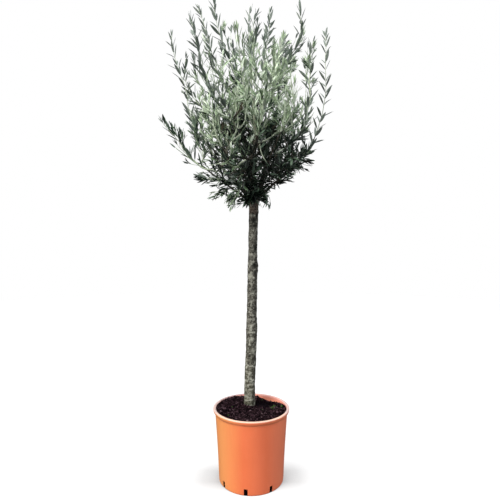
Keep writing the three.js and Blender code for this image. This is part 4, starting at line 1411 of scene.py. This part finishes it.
def leaf_template():
    """Triangles over (section, left/middle/right), for the upper and the lower skin."""
    top, bottom = [], []

    def vid(s, k):  # the first and the last section are single points
        if s == 0:
            return 0
        if s == len(SECTIONS) - 1:
            return 1 + 3 * (len(SECTIONS) - 2)
        return 1 + 3 * (s - 1) + k

    last = len(SECTIONS) - 1
    for s in range(last):
        for k in (0, 1):
            a, b = vid(s, k), vid(s, k + 1)
            c, d = vid(s + 1, k + 1), vid(s + 1, k)
            for tri in ((a, b, c), (a, c, d)):
                if len(set(tri)) == 3:
                    top.append(tri)
                    bottom.append(tri[::-1])
    return np.array(top), np.array(bottom), 2 + 3 * (last - 1)


TOP, BOTTOM, SKIN = leaf_template()
leaves = {}  # piece -> list of leaf rows


def build_leaves(piece):
    rows = np.array(leaves[piece], float)
    n = len(rows)
    base, along, face = rows[:, 0:3], rows[:, 3:6], rows[:, 6:9]
    length, width, arch, fold, bend = (rows[:, k] for k in (9, 10, 11, 12, 13))
    tint = rows[:, 14].astype(int)
    along = along / np.linalg.norm(along, axis=1)[:, None]
    face = face - along * np.einsum("ij,ij->i", face, along)[:, None]
    face = face / np.maximum(1e-6, np.linalg.norm(face, axis=1))[:, None]
    across = np.cross(face, along)
    skins = []
    for under in (0, 1):
        pts = np.empty((n, SKIN, 3))
        i = 0
        for s, w in zip(SECTIONS, WIDTHS):
            ks = (0.0,) if s in (0.0, 1.0) else (-1.0, 0.0, 1.0)
            for k in ks:
                x = s * length
                y = k * w * width / 2 + bend * length * s**2
                z = arch * length * s**2 + fold * abs(k * w * width / 2) * 0.8
                if under and k == 0.0 and 0 < s < 1:
                    z = z - 0.55
                pts[:, i] = base + along * np.reshape(x, (-1, 1)) + across * np.reshape(y, (-1, 1)) + face * np.reshape(z, (-1, 1))
                i += 1
        skins.append(pts)
    verts = np.concatenate(skins, axis=1).reshape(-1, 3)
    step = 2 * SKIN
    block = np.vstack([TOP, BOTTOM + SKIN])
    faces = (block[None] + step * np.arange(n)[:, None, None]).reshape(-1, 3)
    ob = mesh_object(piece, verts, faces)
    for m in TOP_TINTS + UNDER_TINTS:
        ob.data.materials.append(m)
    which = np.empty((n, len(block)), np.int32)
    which[:, : len(TOP)] = tint[:, None]
    which[:, len(TOP) :] = len(TOP_TINTS) + tint[:, None]
    if len(ob.data.polygons) == which.size:
        ob.data.polygons.foreach_set("material_index", which.ravel())
    else:
        print("leaf faces", len(ob.data.polygons), "of", which.size)
    return ob


def piece_of(node):
    label = node[len("leaves_") :]
    if label.startswith(("low", "left_low", "left_foot", "foot", "right_foot", "right_low", "front_low", "back_low")):
        return "foliage_low_left" if BOXES[node][0][0] + BOXES[node][1][0] < 0 else "foliage_low_right"
    if label.startswith(("middle", "heart", "right_front", "front_left", "back_left", "back_right")):
        return "foliage_middle_left" if BOXES[node][0][0] + BOXES[node][1][0] < 0 else "foliage_middle_right"
    if label.startswith(("upper", "crest", "front_wand", "front_tall", "top_front", "back_wand")):
        return "foliage_upper"
    return "foliage_wands"


GROUPS = {m: piece_of(m) for m in MASSES}

# the way a limb is leafed: gap between pairs, length, spread from the twig in degrees, width
WAYS = {
    "wand": (20.0, 50.0, 34.0, 0.215),
    "side": (15.5, 47.0, 30.0, 0.170),
    "limb": (15.0, 41.0, 28.0, 0.112),
    "core": (10.5, 44.0, 30.0, 0.112),
    "low": (15.0, 48.0, 50.0, 0.180),
    "hang": (17.0, 52.0, 48.0, 0.190),
}


# DARK and SHADE are the tints of painted shade
LIGHT, GREY, DARK, GREEN, BROWN, SHADE = 0, 3, 6, 9, 12, 15  # first tint of each group of three
def in_shade(p):
    """0 to 1: the crown's low right part lies in its own shade, and so do its foot and its inside."""
    x, z = p[0], p[2]
    line = 1320 + 0.18 * np.clip(x + 50, 0, 270)
    low = 1 / (1 + np.exp(np.clip((z - line) / 11, -30, 30)))
    right = 1 / (1 + np.exp(-np.clip((x + 46) / 14, -30, 30)))
    foot = 1 / (1 + np.exp(np.clip((z - 1146) / 10, -30, 30)))
    foot = foot / (1 + np.exp(-np.clip((x + 54) / 10, -30, 30)))
    return max(low * right * 0.95, foot * 0.97, low * 0.45)


def in_hollow(x, z):
    """How dark the painted shade in the hollows of the crown's front is here, by the pale limbs' forks."""
    inside = [k for hx, hz, w, h, k in HOLLOWS if ((x - hx) / w) ** 2 + ((z - hz) / h) ** 2 < 1]
    return max(inside, default=0.0)


def hull_of_crown():
    """The crown's reach outwards, by height and by direction."""
    verts = []
    for name in CLUMPS:
        mesh = frame["nodes"][name].data
        co = np.empty(len(mesh.vertices) * 3)
        mesh.vertices.foreach_get("co", co)
        verts.append(co.reshape(-1, 3) / MM)
    q = np.vstack(verts)
    r = np.hypot(q[:, 0] - MIDDLE[0], q[:, 1] - MIDDLE[1])
    a = np.arctan2(q[:, 1] - MIDDLE[1], q[:, 0] - MIDDLE[0])
    heights = np.arange(1080, 1761, 40.0)
    reach = np.full((len(heights), 16), 30.0)
    for i, h in enumerate(heights):
        for k in range(16):
            off = np.abs(np.angle(np.exp(1j * (a - (k + 0.5) / 16 * 2 * math.pi))))
            near = (np.abs(q[:, 2] - h) < 45) & (off < 0.35)
            if near.any():
                reach[i, k] = r[near].max()
    return heights, reach


HULL_HEIGHTS, HULL_REACH = hull_of_crown()


def depth_in(p):
    """How far a point lies inside the whole crown's skin, from 0 at it to 1 well within."""
    a = math.atan2(p[1] - MIDDLE[1], p[0] - MIDDLE[0]) / (2 * math.pi) * 16
    k = int(a) % 16 if a >= 0 else int(a - 1) % 16
    reach = np.interp(p[2], HULL_HEIGHTS, HULL_REACH[:, k])
    deep = reach - math.hypot(p[0] - MIDDLE[0], p[1] - MIDDLE[1])
    return float(np.clip((deep - 20) / 45, 0, 1))


def tint_of(p, way):
    """A spray's colour: light and green above, grey on the wands; dark as painted shade within, in the hollows, low
    and to the right, and palest as painted light at the front of the upper core.
    """
    x, z = p[0], p[2]
    roll = rng.random()
    kind = int(rng.integers(0, 3))
    deep = depth_in(p)
    # painted shade in the hollows of the crown's front
    if rng.random() < in_hollow(x, z):
        return (BROWN if roll < 0.4 else DARK) + kind
    # painted shade inside the core, behind its middle
    if way == "core" and 10 < p[1] < 85 and -130 < x < 130 and 1250 < z < 1470 and rng.random() < (0.42 if x < 50 else 0.15):
        return (DARK if roll < 0.6 else SHADE) + kind
    # painted shade low round the stem, under the crown
    if z < 1228 and abs(x - 8) < 64 and rng.random() < 0.82:
        return (SHADE if roll < 0.4 else DARK) + (2 if kind == 1 else kind)
    if rng.random() < in_shade(p):
        return (SHADE if roll > 0.36 + 0.5 * deep else DARK) + kind
    # painted light: the front of the upper core is dealt the light tints, the palest more often
    if way in ("core", "limb") and p[1] < -20 and z > 1380 and roll < 0.62:
        return LIGHT + (1 if rng.random() < 0.4 else kind)
    # painted shade deep inside the crown
    if way not in ("wand", "side") and rng.random() < 0.36 * deep * np.clip((1640 - p[2]) / 200, 0.08, 1):
        return (DARK if roll < 0.45 else SHADE) + kind
    outer = p[2] > 1690 or abs(p[0] - 60) > 120
    if way == "wand" and abs(p[0] - 20) < 70 and p[2] > 1600 and roll < 0.6:
        return GREY + 1
    if way == "wand" and (outer or roll < 0.3) or way == "side" and outer and roll < 0.7:
        return GREY + kind
    high = np.clip((z - 1400) / 160, 0, 1)
    if roll < 0.68 + 0.24 * high:
        return LIGHT + kind
    return GREEN + kind if roll < 0.92 else GREY + kind


BARE = []  # bare stretches of the pale limbs in front: where they are seen, and their depth


def note_bare():
    for name in LIMBS:
        ids, skip = LIMB_IDS[name]
        for k in ids[: skip + 1]:
            BARE.append((*seen_at(tree.p[k]), tree.p[k][1]))


SKY = np.array(GAPS, float)
SKY_TURN = np.radians(SKY[:, 4])


def shows_sky(base, tip):
    """Whether a leaf would close one of the gaps through the crown."""
    for w in (0.0, 0.2, 0.4, 0.6, 0.8, 1.0):
        x, z = seen_at(np.asarray(base) * (1 - w) + np.asarray(tip) * w)
        dx, dz = x - SKY[:, 0], z - SKY[:, 1]
        u = dx * np.cos(SKY_TURN) + dz * np.sin(SKY_TURN)
        v = dz * np.cos(SKY_TURN) - dx * np.sin(SKY_TURN)
        if ((u / (SKY[:, 2] + 1.0)) ** 2 + (v / (SKY[:, 3] + 1.5)) ** 2 < 1).any():
            return True
    return False


def thinned(base, tip, way):
    """Whether a leaf is left out, for the sky or for a limb that shows behind it."""
    middle = (np.asarray(base) + np.asarray(tip)) / 2
    x, z = seen_at(middle)
    if way != "wand" and shows_sky(base, tip):
        return True
    for ox, oz, hx, hz, kept in OPEN:
        if ((x - ox) / hx) ** 2 + ((z - oz) / hz) ** 2 < 1:
            if rng.random() > (kept**0.5 if way == "wand" else kept):
                return True
    if middle[1] < -50 and rng.random() < 0.6 * in_hollow(x, z):
        return True
    if way == "wand" and middle[1] > -60:
        return False
    q = BARE_AT
    near = (np.abs(q[:, 0] - x) < 22) & (np.abs(q[:, 1] - z) < 22) & (q[:, 2] > middle[1] - 4)
    if near.any():
        a, b = np.array(seen_at(base)), np.array(seen_at(tip))
        for bx, bz, _ in q[near]:
            w = np.array([bx, bz])
            t = np.clip(np.dot(w - a, b - a) / max(1.0, np.dot(b - a, b - a)), 0, 1)
            if np.linalg.norm(a + (b - a) * t - w) < 8.0 and rng.random() < 0.92:
                return True
    return False


def dress():
    """Opposite leaves along each leafy limb, each pair turned a quarter from the last."""
    for limb in LEAFY:
        ids, way, node = limb["ids"], limb["way"], limb["mass"]
        line = tree.p[ids]
        piece = GROUPS[node]
        rows = leaves.setdefault(piece, [])
        d = np.linalg.norm(np.diff(line, axis=0), axis=1)
        s = np.concatenate([[0], np.cumsum(d)])
        total = s[-1]
        skip = max(0, min(limb["skip"], len(s) - 2))
        at = s[skip] + 4 * rng.random()
        tan, u, v = frames(line)
        # on the wands the pairs stand alternately across and along the view
        turn = 0.3 * rng.normal() if way == "wand" else rng.random() * 6.283
        gap, leaf_length, spread, slim = WAYS[way]
        gap, leaf_length = limb.get("gap", gap), limb.get("length", leaf_length)
        if way == "wand":
            spread = SPREAD.get(node[7:], spread)
        drift = 0.09 if way == "wand" else 0.2
        loose = 0.32 if way == "wand" else 0.34
        tint = tint_of(line[int(len(line) * 0.7)], way)
        if node == "leaves_front_low_spray" and tint < DARK or node == "leaves_left_low_wand" and tint % 3 < 2:
            tint = SHADE + tint % 3
        if node == "leaves_left_foot_spray" and tint < DARK and tint >= GREY:
            tint = SHADE + tint % 3
        droop = way in ("low", "hang")
        while at < total + 1:
            i = max(0, min(len(s) - 2, int(np.searchsorted(s, at) - 1)))
            w = np.clip((at - s[i]) / max(1e-6, s[i + 1] - s[i]), 0, 1)
            p = line[i] * (1 - w) + line[i + 1] * w
            t = unit(tan[i] * (1 - w) + tan[min(i + 1, len(tan) - 1)] * w)
            close = 100 if way == "wand" else 45
            near_tip = np.clip((at - (total - close)) / close, 0, 1)
            for side in (0, 1):
                if rng.random() < 0.12:
                    continue
                if node == "leaves_left_low_wand" and math.cos(turn + side * math.pi) * u[i][2] + math.sin(turn + side * math.pi) * v[i][2] < -0.1:
                    if rng.random() < 0.55:
                        continue
                a = turn + side * math.pi + drift * rng.normal()
                b = math.cos(a) * u[i] + math.sin(a) * v[i]
                closing = 0.25 if node == "leaves_left_low_wand" else 0.55
                open_angle = math.radians(spread + 8 * rng.normal()) * (1 - closing * near_tip)
                along = math.cos(open_angle) * t + math.sin(open_angle) * b
                if node == "leaves_left_low_wand":
                    along = unit(along + UP * 0.45)
                if droop:
                    along = unit(along - UP * (0.10 + 0.28 * rng.random()))
                face = unit(t - along * np.dot(t, along)) + loose * rng.normal(size=3) + 0.2 * UP
                shorter = 0.18 if way == "wand" else 0.36
                length = float(np.clip((leaf_length + 6 * rng.normal()) * (1 - shorter * near_tip), 24, 62))
                tip = p + along * length
                past = beyond(crown, tip) - room(tip)
                if past > 0:
                    length = max(20.0, length - (past + 2))
                    if past > 12:
                        continue
                if thinned(p, p + along * length, way):
                    continue
                width = float(np.clip(length * (slim + 0.022 * rng.normal()), 4.0, 12.5 if way == "wand" else 9.8))
                if way == "core" and p[1] > 10:
                    width = min(11.0, width * 1.5)
                arch = 0.05 * rng.normal() - (0.09 if droop else 0.05)
                shade = tint if rng.random() < 0.45 else tint - tint % 3 + int(rng.integers(0, 3))
                rows.append((*p, *along, *face, length, width, arch, 0.22 + 0.2 * rng.random(), 0.05 * rng.normal(), shade))
            turn += math.pi / 2 + drift * rng.normal()
            at += gap * (1 + 0.16 * rng.normal()) * (1 - 0.40 * near_tip)
        # the bud's last two leaves, nearly closed
        if beyond(crown, line[-1] + tan[-1] * 24) > 16 or left_clear(line[-1] + tan[-1] * 12):
            continue
        for side in (0, 1):
            b = math.cos(turn + side * math.pi) * u[-1] + math.sin(turn + side * math.pi) * v[-1]
            along = unit(tan[-1] + 0.16 * b)
            bud = 52 if node == "leaves_top_wand" and way == "wand" and side == 0 else 24 + 8 * rng.random()
            rows.append((*line[-1], *along, *b, bud, 4.6 + 0.12 * (bud - 24), 0.0, 0.3, 0.0, tint))


LEAF_TOPS = [
    (182, 203, 168), (230, 244, 219), (90, 113, 82),
    (94, 106, 97), (138, 150, 139), (60, 70, 64),
    (15, 27, 17), (25, 40, 28), (9, 16, 11),
    (112, 138, 98), (168, 192, 150), (62, 86, 56),
    (47, 44, 31), (70, 64, 46), (29, 28, 20),
    (56, 76, 58), (96, 118, 96), (30, 45, 33),
]
LEAF_UNDERS = [
    (194, 210, 180), (224, 234, 214), (156, 174, 142),
    (140, 151, 140), (166, 176, 164), (108, 120, 109),
    (34, 47, 37), (48, 62, 50), (24, 34, 27),
    (150, 172, 140), (188, 204, 174), (110, 132, 100),
    (76, 71, 56), (100, 93, 74), (54, 51, 42),
    (80, 98, 82), (108, 126, 108), (54, 69, 56),
]
TOP_TINTS = [plain(f"leaf_top_{i}", srgb(*c), 0.45, 0.45) for i, c in enumerate(LEAF_TOPS)]
UNDER_TINTS = [plain(f"leaf_under_{i}", srgb(*c), 0.6, 0.3) for i, c in enumerate(LEAF_UNDERS)]

# ---------------------------------------------------------------------------------------------
# make everything
# ---------------------------------------------------------------------------------------------
grow_boughs()
grow_leaders()
grow_clump_limbs()
grow_shoots()
limb_radius = radii_of_limbs()
note_bare()
BARE_AT = np.array(BARE)
dress()

pot = make_pot()
compost, inside = make_compost()
crumbs = make_crumbs(inside)
bark = make_bark()


def make_twigs():
    parts = {"twigs": [], "shoots": []}
    pale_limbs = [ids for ids, bare in LIMB_IDS.values()]
    for chain in tree.chains:
        ids = chain["ids"]
        if len(ids) < 2:
            continue
        line = tree.p[ids]
        r = limb_radius[ids].copy()
        if chain["level"] > 0:
            r[0] = r[1]
        else:
            r = r * 0.985
        thick = r.max() > 2.3
        pale = ids in pale_limbs
        parts["twigs" if thick else "shoots"].append((line, r, 7 if thick else 5, pale))
    made, shaded = [], []
    for name, tubes in parts.items():
        verts, faces, at = [], [], 0
        which = []
        for line, r, sides, pale in tubes:
            v, q, e = tube(line, r, sides)
            verts.append(v)
            tri = np.vstack([q[:, [0, 1, 2]], q[:, [0, 2, 3]], e]) + at
            faces.append(tri)
            at += len(v)
            limit = 0.25 + 0.5 * rng.random()
            dark = np.array([in_shade(p) > limit and not pale for p in line])
            of_quads = np.repeat(dark[1:], sides)
            which.append(np.concatenate([of_quads, of_quads, np.repeat([dark[0], dark[-1]], sides)]))
        shaded.append(which)
        ob = mesh_object(name, np.vstack(verts), np.vstack(faces))
        made.append(ob)
    made[0].data.materials.append(plain("twig_bark", srgb(190, 200, 176), 0.8, 0.25))
    made[1].data.materials.append(plain("young_shoot", srgb(150, 170, 136), 0.65, 0.3))
    for ob, which in zip(made, shaded):
        ob.data.materials.append(plain(ob.name + "_shaded", srgb(62, 58, 50), 0.8, 0.2))
        ob.data.polygons.foreach_set("material_index", np.concatenate(which).astype(np.int32))
    return made


twigs, shoots = make_twigs()
foliage = {}
for piece in sorted(leaves):
    foliage[piece] = build_leaves(piece)
    print(piece, len(leaves[piece]), "leaves", len(foliage[piece].data.polygons), "triangles")
print("limb nodes", tree.n, "limbs", len(tree.chains), "leaves", sum(len(r) for r in leaves.values()))

# ---------------------------------------------------------------------------------------------
# hand the pieces to the frame
# ---------------------------------------------------------------------------------------------
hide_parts("pot")
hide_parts("soil")
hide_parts("trunk", *[n for n in frame["nodes"] if n.startswith("bough_")])
for piece, ob in foliage.items():
    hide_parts(*[n for n, g in GROUPS.items() if g == piece])
for ob in (pot, compost, crumbs, bark, twigs, shoots, *foliage.values()):
    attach(ob, "root")

# ---------------------------------------------------------------------------------------------
# floor, light and camera
# ---------------------------------------------------------------------------------------------
floor = mesh_object("floor", *lathe([(0, -1.0), (2000, -1.0), (7000, -1.0), (7000, -2.0), (0, -2.0)], 96))
floor.location.z = 0.0009
mat = bpy.data.materials.new("pale_floor")
mat.use_nodes = True
tree_nodes = mat.node_tree.nodes
tree_nodes.clear()
output = tree_nodes.new("ShaderNodeOutputMaterial")
both = tree_nodes.new("ShaderNodeAddShader")
glow = tree_nodes.new("ShaderNodeEmission")
glow.inputs["Color"].default_value = (1, 1, 1, 1)
# painted contact shadow: near the pot, in a band from a little in front of it to a little behind, the floor's glow is
# dimmed where ambient occlusion finds the pot close
near = tree_nodes.new("ShaderNodeAmbientOcclusion")
near.inputs["Distance"].default_value = 0.26
near.samples = 12
place = tree_nodes.new("ShaderNodeTexCoord")
parts = tree_nodes.new("ShaderNodeSeparateXYZ")
front = tree_nodes.new("ShaderNodeMapRange")
for key, value in (("From Min", -0.11), ("From Max", -0.03), ("To Min", 0.0), ("To Max", 1.0)):
    front.inputs[key].default_value = value
rear = tree_nodes.new("ShaderNodeMapRange")
for key, value in (("From Min", 0.05), ("From Max", 0.15), ("To Min", 1.0), ("To Max", 0.0)):
    rear.inputs[key].default_value = value
away = tree_nodes.new("ShaderNodeVectorMath")
away.operation = "LENGTH"
close_by = tree_nodes.new("ShaderNodeMapRange")
for key, value in (("From Min", 0.19), ("From Max", 0.31), ("To Min", 1.0), ("To Max", 0.0)):
    close_by.inputs[key].default_value = value
both_ways = tree_nodes.new("ShaderNodeMath")
both_ways.operation = "MULTIPLY"
there = tree_nodes.new("ShaderNodeMath")
there.operation = "MULTIPLY"
shut = tree_nodes.new("ShaderNodeMath")
shut.operation = "SUBTRACT"
shut.inputs[0].default_value = 1.0
kept = tree_nodes.new("ShaderNodeMath")
kept.operation = "MULTIPLY"
lit = tree_nodes.new("ShaderNodeMapRange")
for key, value in (("From Min", 0.02), ("From Max", 0.5), ("To Min", 0.92), ("To Max", 0.40)):
    lit.inputs[key].default_value = value
for a, b in (
    (place.outputs["Object"], parts.inputs[0]),
    (parts.outputs["Y"], front.inputs["Value"]),
    (near.outputs["AO"], shut.inputs[1]),
    (shut.outputs[0], kept.inputs[0]),
    (parts.outputs["Y"], rear.inputs["Value"]),
    (place.outputs["Object"], away.inputs[0]),
    (away.outputs["Value"], close_by.inputs["Value"]),
    (front.outputs["Result"], both_ways.inputs[0]),
    (rear.outputs["Result"], both_ways.inputs[1]),
    (both_ways.outputs[0], there.inputs[0]),
    (close_by.outputs["Result"], there.inputs[1]),
    (there.outputs[0], kept.inputs[1]),
    (kept.outputs[0], lit.inputs["Value"]),
    (lit.outputs["Result"], glow.inputs["Strength"]),
):
    mat.node_tree.links.new(a, b)
matt = tree_nodes.new("ShaderNodeBsdfDiffuse")
matt.inputs["Color"].default_value = (0.15, 0.15, 0.15, 1)
mat.node_tree.links.new(glow.outputs[0], both.inputs[0])
mat.node_tree.links.new(matt.outputs[0], both.inputs[1])
mat.node_tree.links.new(both.outputs[0], output.inputs["Surface"])
floor.data.materials.append(mat)
floor.visible_diffuse = False
floor.visible_glossy = False
floor.visible_transmission = False

world = bpy.data.worlds.new("studio")
bpy.context.scene.world = world
world.use_nodes = True
wn = world.node_tree.nodes
wl = world.node_tree.links
wn.clear()
w_out = wn.new("ShaderNodeOutputWorld")
w_mix = wn.new("ShaderNodeMixShader")
w_path = wn.new("ShaderNodeLightPath")
w_white = wn.new("ShaderNodeBackground")
w_white.inputs["Color"].default_value = (1, 1, 1, 1)
w_white.inputs["Strength"].default_value = 1.0
w_sky = wn.new("ShaderNodeBackground")
w_sky.inputs["Strength"].default_value = 0.85
w_ramp = wn.new("ShaderNodeValToRGB")
w_sep = wn.new("ShaderNodeSeparateXYZ")
w_geo = wn.new("ShaderNodeTexCoord")
w_map = wn.new("ShaderNodeMapRange")
w_map.inputs["From Min"].default_value = -1.0
wl.new(w_geo.outputs["Generated"], w_sep.inputs[0])
wl.new(w_sep.outputs["Z"], w_map.inputs["Value"])
wl.new(w_map.outputs["Result"], w_ramp.inputs["Fac"])
e = w_ramp.color_ramp.elements
e[0].position, e[0].color = 0.0, (0.03, 0.03, 0.035, 1)
e[1].position, e[1].color = 1.0, (1.0, 1.02, 1.06, 1)
m = e.new(0.46)
m.color = (0.10, 0.10, 0.105, 1)
m = e.new(0.56)
m.color = (0.50, 0.51, 0.53, 1)
wl.new(w_ramp.outputs["Color"], w_sky.inputs["Color"])
wl.new(w_path.outputs["Is Camera Ray"], w_mix.inputs[0])
wl.new(w_sky.outputs[0], w_mix.inputs[1])
wl.new(w_white.outputs[0], w_mix.inputs[2])
wl.new(w_mix.outputs[0], w_out.inputs["Surface"])


def sun(name, towards, energy, angle, colour):
    data = bpy.data.lights.new(name, "SUN")
    data.energy = energy
    data.angle = math.radians(angle)
    data.color = colour
    ob = bpy.data.objects.new(name, data)
    ob.rotation_euler = Vector(towards).to_track_quat("-Z", "Y").to_euler()
    bpy.context.scene.collection.objects.link(ob)
    return ob


sun("key", (0.60, 0.62, -0.62), 3.3, 34, (1.0, 0.98, 0.94))
sun("fill", (-0.35, 0.9, -0.2), 0.75, 60, (0.95, 0.97, 1.0))
sun("side", (-0.95, 0.25, -0.2), 0.7, 60, (0.92, 0.95, 1.0))

camera_data = bpy.data.cameras.new("camera")
camera_data.sensor_width = 36.0
camera_data.sensor_fit = "HORIZONTAL"
camera_data.lens = 36.0 * 406.4 / 500.0
camera_data.clip_start = 0.05
camera_data.clip_end = 60
camera = bpy.data.objects.new("camera", camera_data)
camera.location = (-0.005, -1.610, 0.9015)
camera.rotation_euler = (math.radians(90), 0, 0)
bpy.context.scene.collection.objects.link(camera)
bpy.context.scene.camera = camera

view = bpy.context.scene.view_settings
view.view_transform = "Standard"
view.look = "None"
view.exposure = 0.0
view.gamma = 1.0
